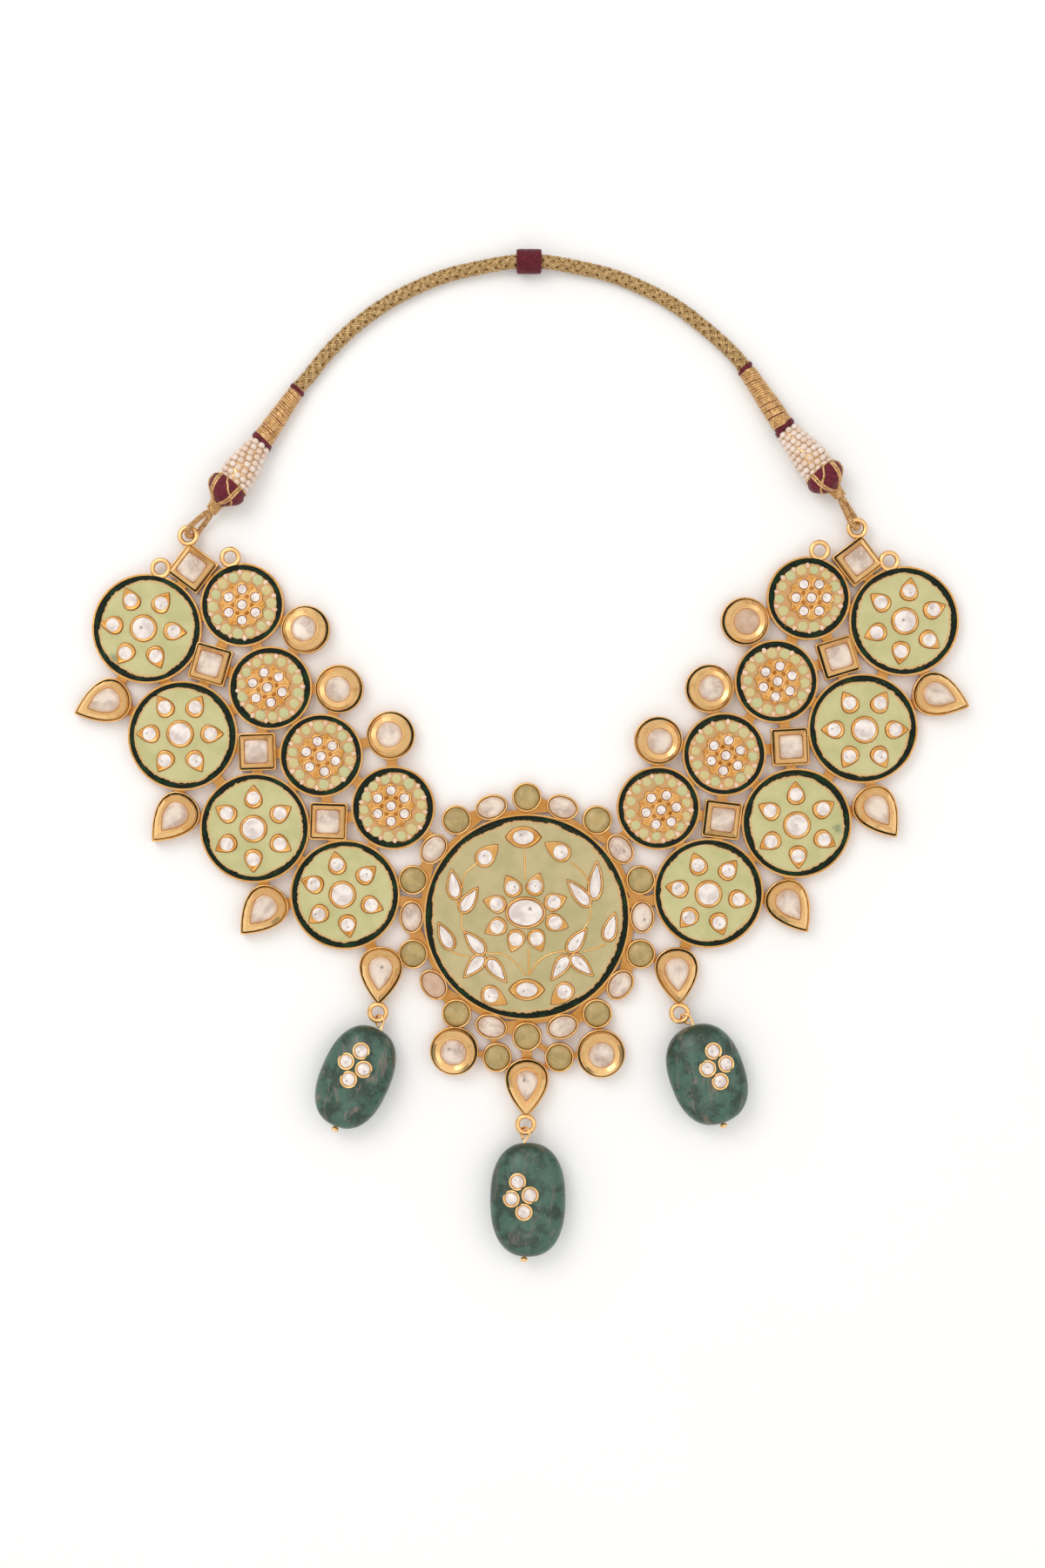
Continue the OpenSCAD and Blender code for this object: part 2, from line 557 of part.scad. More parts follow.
// Places of a small disc's stones
module dot_places(row) {
    translate(dot_r * row[STAR_SHIFT]) rotate(row[STAR_TURN]) {
        children();
        for (k = [0 : 5]) rotate(60 * k) translate([dot_ring_r, 0]) children();
    }
}
module small_cells(row, d) {
    translate(dot_r * row[STAR_SHIFT]) rotate(row[STAR_TURN])
        polygon(star(star_r + d, star_notch, STAR_POINTS));
}
module small_pockets(row) {
    dot_places(row) circle(r = dot_r + fit_gap);
}
module lens_cell(row, d) {
    translate(at([0, 0], medallion_r * row[0], row[1])) rotate(row[2])
        polygon(lens(lens_w + 2 * d, lens_l + 2 * TIP_GROWTH * d));
}
module leaf_cell(row, d) {
    translate(at([0, 0], medallion_r * row[0], row[1])) rotate(row[2]) translate([leaf_w / 2, 0])
        polygon(grown_pear(leaf_w, leaf_l * row[3], d, 14));
}
// Places of the round ends of the flower's petals and of the drops
module flower_places() {
    for (row = FLOWER_PETALS) translate(FLOWER_AT) rotate(row[0])
        translate([flower_ring_r * row[1], 0]) children();
}
module drop_places() {
    for (row = DROPS) translate(at([0, 0], medallion_r * row[0], row[1])) rotate(row[2])
        translate([(drop_w - drop_l) / 2, 0]) children();
}
module pointed_cells(d) {
    translate(FLOWER_AT) polygon(oval(flower_l + 2 * d, flower_w + 2 * d, 20));
    for (row = LEAVES) leaf_cell(row, d);
    for (row = LENSES) lens_cell(row, d);
}
module medallion_cells(d) {
    pointed_cells(d);
    flower_places() polygon(grown_pear(flower_petal_w, flower_petal_l, d, 14));
    drop_places() polygon(grown_pear(drop_w, drop_l, d, 14));
}
// Distance of a medallion's round stone beyond the middle of its cell's round end
ROUND_OUT = 0.2;
module medallion_pockets() {
    pointed_cells(fit_gap - cell_wall);
    flower_places() translate([ROUND_OUT, 0]) circle(r = flower_stone_r + fit_gap);
    drop_places() translate([ROUND_OUT, 0]) circle(r = drop_stone_r + fit_gap);
}
CELL_FOOT = 0.1;
module raised_cells() {
    translate([0, 0, floor_t - CELL_FOOT]) linear_extrude(enamel_t + rim_rise + CELL_FOOT) children();
}
module wing_cells(wing) {
    for (i = [0 : 3]) {
        translate(large_at(wing, i)) raised_cells() difference() {
            large_cells(wing[i], 0);
            large_pockets(wing[i]);
        }
        translate(small_at(wing, i)) raised_cells() difference() {
            small_cells(wing[i], 0);
            small_pockets(wing[i]);
        }
    }
}
module collar_frame() {
    color(GOLD) {
        difference() {
            union() {
                linear_extrude(bar_t) {
                    wing_bars(LEFT, LEFT_HIGH, 1);
                    wing_bars(RIGHT, RIGHT_HIGH, -1);
                    halo_bars();
                }
                disc_body(medallion_r);
                wing_settings(LEFT, LEFT_HIGH, LEFT_END, 1);
                wing_settings(RIGHT, RIGHT_HIGH, RIGHT_END, -1);
                halo_cups();
                for (k = [0, 1]) translate(lower_round_at(k))
                    round_setting(LOWER_ROUNDS[k][2], LOWER_ROUNDS[k][3]);
                for (k = [0 : 2]) {
                    translate(drop_pear_at(k)) pear_setting(DROP_PEARS[k][2]);
                    translate(drop_ring_at(k)) soldered_ring();
                }
            }
            disc_recess(medallion_r);
            wing_recesses(LEFT);
            wing_recesses(RIGHT);
            halo_pockets();
        }
        wing_cells(LEFT);
        wing_cells(RIGHT);
        raised_cells() difference() {
            medallion_cells(0);
            medallion_pockets();
        }
    }
}

// Enamel fields and their dark lines
module enamel_plate(r) {
    translate([0, 0, floor_t + fit_gap]) linear_extrude(enamel_t - fit_gap) difference() {
        circle(r = r - rim_w - border_w);
        children();
    }
}
module border_plate(r) {
    translate([0, 0, floor_t + fit_gap]) linear_extrude(enamel_t - fit_gap) difference() {
        circle(r = r - rim_w - fit_gap);
        circle(r = r - rim_w - border_w + fit_gap);
    }
}
module large_enamels(wing) {
    color(PISTACHIO) for (i = [0 : 3]) translate(large_at(wing, i))
        enamel_plate(large_r) large_cells(wing[i], fit_gap);
}
module small_enamels(wing) {
    color(PEARL) for (i = [0 : 3]) translate(small_at(wing, i))
        enamel_plate(small_r) small_cells(wing[i], fit_gap);
}
module medallion_enamel() {
    color(PISTACHIO) enamel_plate(medallion_r) medallion_cells(fit_gap);
}
module medallion_border() {
    color(DARK) border_plate(medallion_r);
}
module large_borders(wing) {
    color(DARK) for (i = [0 : 3]) translate(large_at(wing, i)) border_plate(large_r);
}
module small_borders(wing) {
    color(DARK) for (i = [0 : 3]) translate(small_at(wing, i)) border_plate(small_r);
}

// Stones of the discs
STONE_H = enamel_t + rim_rise + stone_rise - fit_gap;
CROWN = 0.6;
TABLE = 0.62;
module seated() {
    color(CLEAR) translate([0, 0, floor_t + fit_gap]) children();
}
module large_stones(wing) {
    seated() for (i = [0 : 3]) translate(large_at(wing, i)) translate(eye_r * wing[i][LARGE_SHIFT]) {
        gem(ngon(eye_r - cell_wall, 8), STONE_H, CROWN, TABLE);
        petal_places(wing[i]) translate([petal_stone_out, 0])
            gem(ngon(petal_stone_r, 8), STONE_H, CROWN, TABLE);
    }
}
module small_stones(wing) {
    seated() for (i = [0 : 3]) translate(small_at(wing, i)) dot_places(wing[i])
        small_gem(ngon(dot_r, 8), STONE_H, TABLE);
}
module medallion_centre_stone() {
    seated() translate(FLOWER_AT)
        gem(oval(flower_l - 2 * cell_wall, flower_w - 2 * cell_wall, 16), STONE_H, CROWN, TABLE);
}
module flower_stones() {
    seated() flower_places() translate([ROUND_OUT, 0]) gem(ngon(flower_stone_r, 8), STONE_H, CROWN, TABLE);
}
module leaf_stones() {
    seated() for (row = LEAVES) translate(at([0, 0], medallion_r * row[0], row[1]))
        rotate(row[2]) translate([leaf_w / 2, 0])
        gem(grown_pear(leaf_w, leaf_l * row[3], -cell_wall, 14), STONE_H, CROWN, TABLE);
}
module edge_stones() {
    seated() {
        for (row = LENSES) translate(at([0, 0], medallion_r * row[0], row[1])) rotate(row[2])
            gem(lens(lens_w - 2 * cell_wall, lens_l - 2 * TIP_GROWTH * cell_wall),
                STONE_H, CROWN, TABLE);
        drop_places() translate([ROUND_OUT, 0]) gem(ngon(drop_stone_r, 8), STONE_H, CROWN, TABLE);
    }
}

// Stones of the halo
module halo_ovals() {
    stone_h = halo_h - halo_floor_t + oval_rise - fit_gap;
    inset = 2 * halo_wall + 2 * fit_gap;
    color(CLEAR) translate([0, 0, halo_floor_t + fit_gap]) for (k = [0 : 9])
        translate(oval_at(k)) rotate(oval_dir(k) + 90)
        gem(oval(halo_oval_l - inset, halo_oval_w - inset, 12), stone_h, CROWN, TABLE);
}
DOME_STEP = 22.5;
module halo_cabochons() {
    wall_h = halo_h - halo_floor_t - fit_gap;
    r = cabochon_d / 2 - halo_wall - fit_gap;
    dome = [for (a = [0 : DOME_STEP : 90]) [r * cos(a), wall_h + cabochon_rise * sin(a)]];
    color(OLIVE) for (p = CABOCHONS) translate([p[0], p[1], halo_floor_t + fit_gap])
        rotate_extrude() polygon(concat([[0, 0], [r, 0]], dome));
}

// Stones of the high settings
HIGH_CROWN = 0.7;
TABLE_DROP = 0.15;
module high_seated() {
    color(CLEAR) translate([0, 0, crest_h - high_stone_h + fit_gap]) children();
}
HIGH_H = high_stone_h - fit_gap - TABLE_DROP;
SQUARE_CUT = 0.8;
module square_stone(turn) {
    high_seated() rotate(turn) gem(box_outline(square_stone_w, SQUARE_CUT), HIGH_H, HIGH_CROWN, TABLE);
}
module square_stones(wing, high, end, s) {
    for (i = [0 : 2]) translate(square_at(wing, i)) square_stone(high[i][SQUARE_TURN]);
    translate(end_square_at(wing, s)) square_stone(end[0]);
}
module round_stone(p, dir, lean) {
    translate(p) leaned(dir, lean) high_seated() gem(ngon(round_stone_r, 12), HIGH_H, HIGH_CROWN, TABLE);
}
module wing_round_stone(wing, high, i, s) {
    round_stone(round_at(wing, high, i, s), high[i][LEAN_DIR], high[i][LEAN]);
}
module lower_round_stone(k) {
    round_stone(lower_round_at(k), LOWER_ROUNDS[k][2], LOWER_ROUNDS[k][3]);
}
module pear_stone(p, dir) {
    translate(p) high_seated() rotate(dir)
        gem(pear(pear_stone_w, pear_stone_l, 16), HIGH_H, HIGH_CROWN, TABLE);
}
module wing_pear_stone(wing, high, i, s) {
    pear_stone(pear_at(wing, high, i, s), pear_dir(wing, high, i, s));
}

// Bead drops
BEAD_ROUNDNESS = 2.4;
BEAD_Z = bead_t / 2;
SIDES = 16;
BEAD_STEPS = [20, 34, 50, 68, 90, 112, 130, 146, 160];
END_FACE = [4, 3];   // flat round a bore, across and up, in bore diameters
function bead_length(k) = (k == 2 ? centre_bead_l : side_bead_l) * BEADS[k][BEAD_SIZE][0];
function bead_width(k) = bead_w * BEADS[k][BEAD_SIZE][1];
// Where a pin goes into its bead
function bore_at(k) = at(drop_ring_at(k), ring_r + ring_wire_r + pin_neck, BEADS[k][HANG_DIR]);
function bead_at(k) = let (a = BEADS[k][PIN_DIR])
    at(at(bore_at(k), bead_length(k) / 2, a), bead_w * BEADS[k][BEAD_SHIFT], a + 90);
function rounded(v) = sign(v) * pow(abs(v), 2 / BEAD_ROUNDNESS);
// Half width of a bead at a place u along it, as a share of its greatest half width
function bead_share(u, half) = pow(1 - pow(abs(u) / half, BEAD_ROUNDNESS), 1 / BEAD_ROUNDNESS);
// Rings in the pin's own frame, X from its ball end to its ring end
function bead_ring(x, w, t) = [for (i = [0 : SIDES - 1]) let (a = 360 * i / SIDES)
    [x, w * cos(a) / 2, t * sin(a) / 2]];
function turned(ring, a) = [for (p = ring)
    [p[0] * cos(a) - p[1] * sin(a), p[0] * sin(a) + p[1] * cos(a), p[2]]];
module bead_frame(k) {
    translate([bead_at(k)[0], bead_at(k)[1], BEAD_Z]) rotate(BEADS[k][PIN_DIR] + 180) children();
}
module bead(k) {
    half = bead_length(k) / 2;
    w = bead_width(k);
    shift = bead_w * BEADS[k][BEAD_SHIFT];
    bore_d = 2 * (pin_r + bore_gap);
    skin = concat([bead_ring(-half, END_FACE[0] * bore_d, END_FACE[1] * bore_d)],
        [for (a = BEAD_STEPS)
            bead_ring(-half * rounded(cos(a)), w * rounded(sin(a)), bead_t * rounded(sin(a)))],
        [bead_ring(half, END_FACE[0] * bore_d, END_FACE[1] * bore_d)]);
    bore = [for (x = [-half, half]) [for (p = bead_ring(x, bore_d, bore_d)) p + [0, shift, 0]]];
    color(TEAL) bead_frame(k) closed_loft(concat([bore[0]],
        [for (ring = skin) turned(ring, BEADS[k][BEAD_TURN])], [bore[1]]));
}
module studs(k) {
    half = bead_length(k) / 2;
    w = bead_width(k);
    turn = BEADS[k][GROUP_TURN];
    for (place = STUD_PLACES) {
        u = stud_r * (BEADS[k][GROUP_AT][0] + place[0] * cos(turn) - place[1] * sin(turn));
        v = stud_r * (BEADS[k][GROUP_AT][1] + place[0] * sin(turn) + place[1] * cos(turn));
        share = bead_share(u, half);
        z = bead_t / 2 * share * sqrt(1 - pow(2 * v / (w * share), 2));
        roll = atan(v * bead_t * bead_t / (w * w * z));
        rise = norm([v / (w * w), z / (bead_t * bead_t)]) * 4 * pow(share, BEAD_ROUNDNESS - 2);
        pitch = atan(sign(u) * pow(abs(u) / half, BEAD_ROUNDNESS - 1) / half / rise);
        bead_frame(k) rotate(BEADS[k][BEAD_TURN]) translate([u, -v, z]) rotate([roll, 0, 0])
            rotate([0, pitch, 0]) rotate_extrude() polygon([[0, fit_gap], [stud_r, fit_gap], [stud_r, stud_h],
                [stud_hollow_r, stud_h], [stud_hollow_r, stud_h / 2], [0, stud_h / 2]]);
    }
}
module bead_studs() {
    color(GOLD) for (k = [0 : 2]) studs(k);
}
// Head pin: ball, straight shank through the bead, and a drawn out loop round the drop ring.
// A path row is a point and the wire's radius there.
LOOP_START = 70;
LOOP_STEP = 20;
LOOP_LEAN = 45;
LOOP_BACK = 0.55;                // how far the loop's end runs back to the bead
BALL_STEPS = [[2, 0.25], [1.75, 0.66], [1, 1], [0.25, 0.66]];   // place and radius in ball radii
function flat_dir(a) = [cos(a), sin(a), 0];
module head_pin(k) {
    e = flat_dir(BEADS[k][PIN_DIR]);
    hang = flat_dir(BEADS[k][HANG_DIR]);
    lean = sin(LOOP_LEAN) * flat_dir(BEADS[k][HANG_DIR] + 90) + [0, 0, cos(LOOP_LEAN)];
    bore = [bore_at(k)[0], bore_at(k)[1], BEAD_Z];
    root = [drop_ring_at(k)[0], drop_ring_at(k)[1], ring_z];
    loop_x = ring_wire_r + pin_r + 2 * bore_gap;
    loop_y = ring_wire_r / cos(LOOP_LEAN) + pin_r + 2 * bore_gap;
    ball = bead_length(k) + fit_gap;
    turn = [for (a = [LOOP_START : LOOP_STEP : 360 - LOOP_START])
        root + (ring_r + loop_x * cos(a)) * hang + loop_y * sin(a) * lean];
    last = turn[len(turn) - 1];
    rows = concat([for (b = BALL_STEPS) [bore + (ball + b[0] * pin_ball_r) * e, b[1] * pin_ball_r]],
        [for (x = [ball, 0, -pin_r]) [bore + x * e, pin_r]],
        [for (q = concat(turn, [last + LOOP_BACK * (bore - last)])) [q, pin_r]]);
    color(GOLD) loft(swept([for (row = rows) row[0]], [for (row = rows) row[1]], 6,
        flat_dir(BEADS[k][HANG_DIR] + 90)));
}

// Neck cord and the pieces on it
LOOP_TILT = 30;
LOOP_ROOM = 0.8;        // share of a ring's free room by which a loop is wider than it must be
LOOP_END_SHARE = 0.6;
module cord_loop(ring, station) {
    foot = [station[0], station[1], station[2]];
    root = [ring[0], ring[1], ring_z];
    way = unit(foot - root);
    flat_way = unit([way[0], way[1]]);
    side = [-flat_way[1], flat_way[0], 0];
    lift = cross(way, side);
    tilt = cos(LOOP_TILT) * lift + sin(LOOP_TILT) * side;
    near_r = ring_wire_r + strand_r + LOOP_ROOM * (ring_r - ring_wire_r - strand_r);
    far_r = near_r * LOOP_END_SHARE;
    far = norm(foot - root) - cord_gap - strand_r - far_r;
    turn = concat([for (a = [90 : 30 : 270]) [ring_r + near_r * cos(a), near_r * sin(a)]],
        [for (a = [-90 : 30 : 90]) [far + far_r * cos(a), far_r * sin(a)]]);
    path = [for (q = turn) root + q[0] * way + q[1] * tilt];
    color(ZARI) closed_loft(swept(path, [for (q = path) strand_r], 8, cross(way, tilt), true));
}
// Piece of the cord from one station to another. Two pieces that meet share the plane of their ends.
CORD_POINTS = [for (q = CORD_ROUTE) [q[0], q[1], q[2], cord_r]];
LEFT_CORD = concat(LEFT_STATIONS, [CORD_POINTS[1]]);
RIGHT_CORD = concat(RIGHT_STATIONS, [CORD_POINTS[len(CORD_POINTS) - 2]]);
module cord_piece(stations, first, last, sides = 12) {
    path = [for (q = stations) [q[0], q[1], q[2]]];
    rings = swept(path, [for (q = stations) q[3]], sides, [0, 0, 1]);
    loft([for (i = [first : last])
        let (back = i == first ? cord_gap / 2 : i == last ? -cord_gap / 2 : 0)
        [for (p = rings[i]) p + back * along(path, i)]]);
}
module neck_cord() {
    stations = concat([LEFT_STATIONS[WOUND_END - 1]], CORD_POINTS, [RIGHT_STATIONS[WOUND_END - 1]]);
    color(ZARI) cord_piece(stations, 1, len(CORD_POINTS), 8);
}
SLIDE_EDGE = 0.7;
module cord_slide() {
    h = slide_l / 2;
    bore = cord_r + cord_gap;
    color(MAROON) translate(SLIDE_AT) rotate([0, 90, 0]) rotate_extrude()
        polygon([[bore, -h], [slide_r - SLIDE_EDGE, -h], [slide_r, -h + SLIDE_EDGE],
            [slide_r, h - SLIDE_EDGE], [slide_r - SLIDE_EDGE, h], [bore, h]]);
}

collar_frame();
medallion_enamel();
medallion_border();
large_enamels(LEFT);  // left_large_enamels
large_enamels(RIGHT);  // right_large_enamels
small_enamels(LEFT);  // left_small_enamels
small_enamels(RIGHT);  // right_small_enamels
large_borders(LEFT);  // left_large_borders
large_borders(RIGHT);  // right_large_borders
small_borders(LEFT);  // left_small_borders
small_borders(RIGHT);  // right_small_borders
medallion_centre_stone();
flower_stones();
leaf_stones();
edge_stones();
halo_ovals();
halo_cabochons();
large_stones(LEFT);  // left_large_stones
large_stones(RIGHT);  // right_large_stones
small_stones(LEFT);  // left_small_stones
small_stones(RIGHT);  // right_small_stones
square_stones(LEFT, LEFT_HIGH, LEFT_END, 1);  // left_square_stones
square_stones(RIGHT, RIGHT_HIGH, RIGHT_END, -1);  // right_square_stones
wing_round_stone(LEFT, LEFT_HIGH, 0, 1);  // left_round_stone_1
wing_round_stone(LEFT, LEFT_HIGH, 1, 1);  // left_round_stone_2
wing_round_stone(LEFT, LEFT_HIGH, 2, 1);  // left_round_stone_3
lower_round_stone(0);  // left_round_stone_4
wing_round_stone(RIGHT, RIGHT_HIGH, 0, -1);  // right_round_stone_1
wing_round_stone(RIGHT, RIGHT_HIGH, 1, -1);  // right_round_stone_2
wing_round_stone(RIGHT, RIGHT_HIGH, 2, -1);  // right_round_stone_3
lower_round_stone(1);  // right_round_stone_4
wing_pear_stone(LEFT, LEFT_HIGH, 0, 1);  // left_pear_stone_1
wing_pear_stone(LEFT, LEFT_HIGH, 1, 1);  // left_pear_stone_2
wing_pear_stone(LEFT, LEFT_HIGH, 2, 1);  // left_pear_stone_3
pear_stone(drop_pear_at(0), DROP_PEARS[0][2]);  // left_drop_stone
wing_pear_stone(RIGHT, RIGHT_HIGH, 0, -1);  // right_pear_stone_1
wing_pear_stone(RIGHT, RIGHT_HIGH, 1, -1);  // right_pear_stone_2
wing_pear_stone(RIGHT, RIGHT_HIGH, 2, -1);  // right_pear_stone_3
pear_stone(drop_pear_at(1), DROP_PEARS[1][2]);  // right_drop_stone
pear_stone(drop_pear_at(2), DROP_PEARS[2][2]);  // centre_drop_stone
bead(0);  // left_bead
bead(2);  // centre_bead
bead(1);  // right_bead
head_pin(0);  // left_pin
head_pin(2);  // centre_pin
head_pin(1);  // right_pin
bead_studs();
cord_loop(end_ring_at(LEFT, LEFT_END, 1), LEFT_STATIONS[0]);  // left_cord_loop
color(MAROON) cord_piece(LEFT_CORD, 0, CAP_END);  // left_knot_cap
color(PEARL) cord_piece(LEFT_CORD, CAP_END, PEARL_END);  // left_pearl_sleeve
color(ZARI) cord_piece(LEFT_CORD, PEARL_END, WOUND_END);  // left_wound_sleeve
cord_loop(end_ring_at(RIGHT, RIGHT_END, -1), RIGHT_STATIONS[0]);  // right_cord_loop
color(MAROON) cord_piece(RIGHT_CORD, 0, CAP_END);  // right_knot_cap
color(PEARL) cord_piece(RIGHT_CORD, CAP_END, PEARL_END);  // right_pearl_sleeve
color(ZARI) cord_piece(RIGHT_CORD, PEARL_END, WOUND_END);  // right_wound_sleeve
neck_cord();
cord_slide();
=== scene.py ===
"""Kundan collar necklace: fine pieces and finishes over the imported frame.

Lengths are millimetres until a mesh is made, and metres from there. Angles are degrees.
"""

import bisect
import logging
import math
import random
from collections.abc import Callable, Iterable, Sequence
from dataclasses import dataclass, field
from enum import Enum, IntEnum

import bpy
from mathutils import Matrix, Vector

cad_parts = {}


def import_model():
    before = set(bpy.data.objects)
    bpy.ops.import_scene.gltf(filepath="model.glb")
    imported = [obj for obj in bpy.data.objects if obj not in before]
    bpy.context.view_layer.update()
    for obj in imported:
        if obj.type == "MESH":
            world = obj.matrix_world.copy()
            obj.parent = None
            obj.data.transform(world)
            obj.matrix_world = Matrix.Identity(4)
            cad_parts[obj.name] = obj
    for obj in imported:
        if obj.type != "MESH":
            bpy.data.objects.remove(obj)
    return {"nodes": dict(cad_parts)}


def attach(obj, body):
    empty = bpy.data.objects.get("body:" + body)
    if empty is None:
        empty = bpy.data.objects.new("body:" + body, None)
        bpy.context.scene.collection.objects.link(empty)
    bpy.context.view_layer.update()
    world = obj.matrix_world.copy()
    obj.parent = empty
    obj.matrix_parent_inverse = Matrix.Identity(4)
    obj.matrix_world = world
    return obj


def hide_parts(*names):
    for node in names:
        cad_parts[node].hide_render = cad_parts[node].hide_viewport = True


LOG = logging.getLogger("necklace")
MM = 0.001
TINY = 1e-6
UP = Vector((0.0, 0.0, 1.0))
ALONG = Vector((1.0, 0.0, 0.0))
FULL_TURN = 2 * math.pi

# Sizes that several pieces share: the medallion, its ovals, the wire rings, the pear settings
MEDALLION_R = 23.7
OVAL_W = 5.8
RING_R = 1.9
RING_WIRE_R = 0.56
RING_Z = 3.0
PEAR_LENGTH = 13.4

Colour = tuple[float, float, float]
Point = tuple[float, float, float]
Row = Sequence[float]
Socket = bpy.types.NodeSocket
Feed = float | Colour | Socket


# Plane geometry of the collar, as its solids have it


def flat(distance: float, degrees: float) -> Vector:
    """Vector in the plane of that length and direction."""
    a = math.radians(degrees)
    return Vector((distance * math.cos(a), distance * math.sin(a), 0.0))


def direction(way: Vector) -> float:
    """Direction of a vector in the plane, in degrees."""
    return math.degrees(math.atan2(way.y, way.x))


def nest(p: Vector, q: Vector, from_p: float, from_q: float) -> Vector:
    """Point at two distances from two points.

    Args:
        p: First point.
        q: Second point.
        from_p: Distance from the first point.
        from_q: Distance from the second point.

    Returns:
        The point on the left of the way from p to q.
    """
    gap = (q - p).length
    along = (gap * gap + from_p * from_p - from_q * from_q) / (2 * gap)
    across = math.sqrt(from_p * from_p - along * along)
    u = (q - p) / gap
    return p + along * u + across * Vector((-u.y, u.x, 0.0))


def circle(radius: float, count: int) -> list[Vector]:
    """Points round a circle in the plane."""
    return [flat(radius, 360 * i / count) for i in range(count)]


def oval(length: float, width: float, count: int) -> list[Vector]:
    """Points round an oval whose length lies along X."""
    return [Vector((p.x * length, p.y * width, 0.0)) for p in circle(0.5, count)]


def pear(width: float, length: float, count: int) -> list[Vector]:
    """Points round a pear with its tip on X.

    Args:
        width: Greatest width.
        length: Length from the round end to the tip.
        count: Number of points.

    Returns:
        The outline, with the origin at the middle of the round end.
    """
    fatness = 0.77
    outline = []
    for i in range(count):
        t = FULL_TURN * i / count
        x = (length * (1 + math.cos(t)) - width) / 2
        y = width * math.sin(t) * math.sin(t / 2) / (2 * fatness)
        outline.append(Vector((x, y, 0.0)))
    return outline


def grown_pear(width: float, length: float, more: float, count: int) -> list[Vector]:
    """Pear outline grown by a distance all round."""
    tip_growth = 2.5
    return pear(width + 2 * more, length + tip_growth * more, count)


def eye(width: float, length: float, count: int) -> list[Vector]:
    """Points round an eye shape with its two tips on X.

    Args:
        width: Width at the middle.
        length: Length from tip to tip.
        count: Number of points, an even one.

    Returns:
        The outline.
    """
    b, a = width / 2, length / 2
    r = (a * a + b * b) / (2 * b)
    half = math.asin(a / r)
    outline = []
    for side in (1, -1):
        for i in range(count // 2):
            t = half * (1 - 4 * i / count)
            outline.append(side * Vector((r * math.sin(t), r * math.cos(t) - r + b, 0.0)))
    return outline


def rounded_square(width: float, cut: float, count: int) -> list[Vector]:
    """Points round a square with rounded corners.

    Args:
        width: Width between two sides.
        cut: Radius of the corners.
        count: Points on each corner.

    Returns:
        The outline.
    """
    inner = width / 2 - cut
    outline = []
    for corner in range(4):
        middle = flat(inner * math.sqrt(2), 45 + 90 * corner)
        for i in range(count):
            outline.append(middle + flat(cut, 90 * corner + 90 * i / (count - 1)))
    return outline


# Meshes


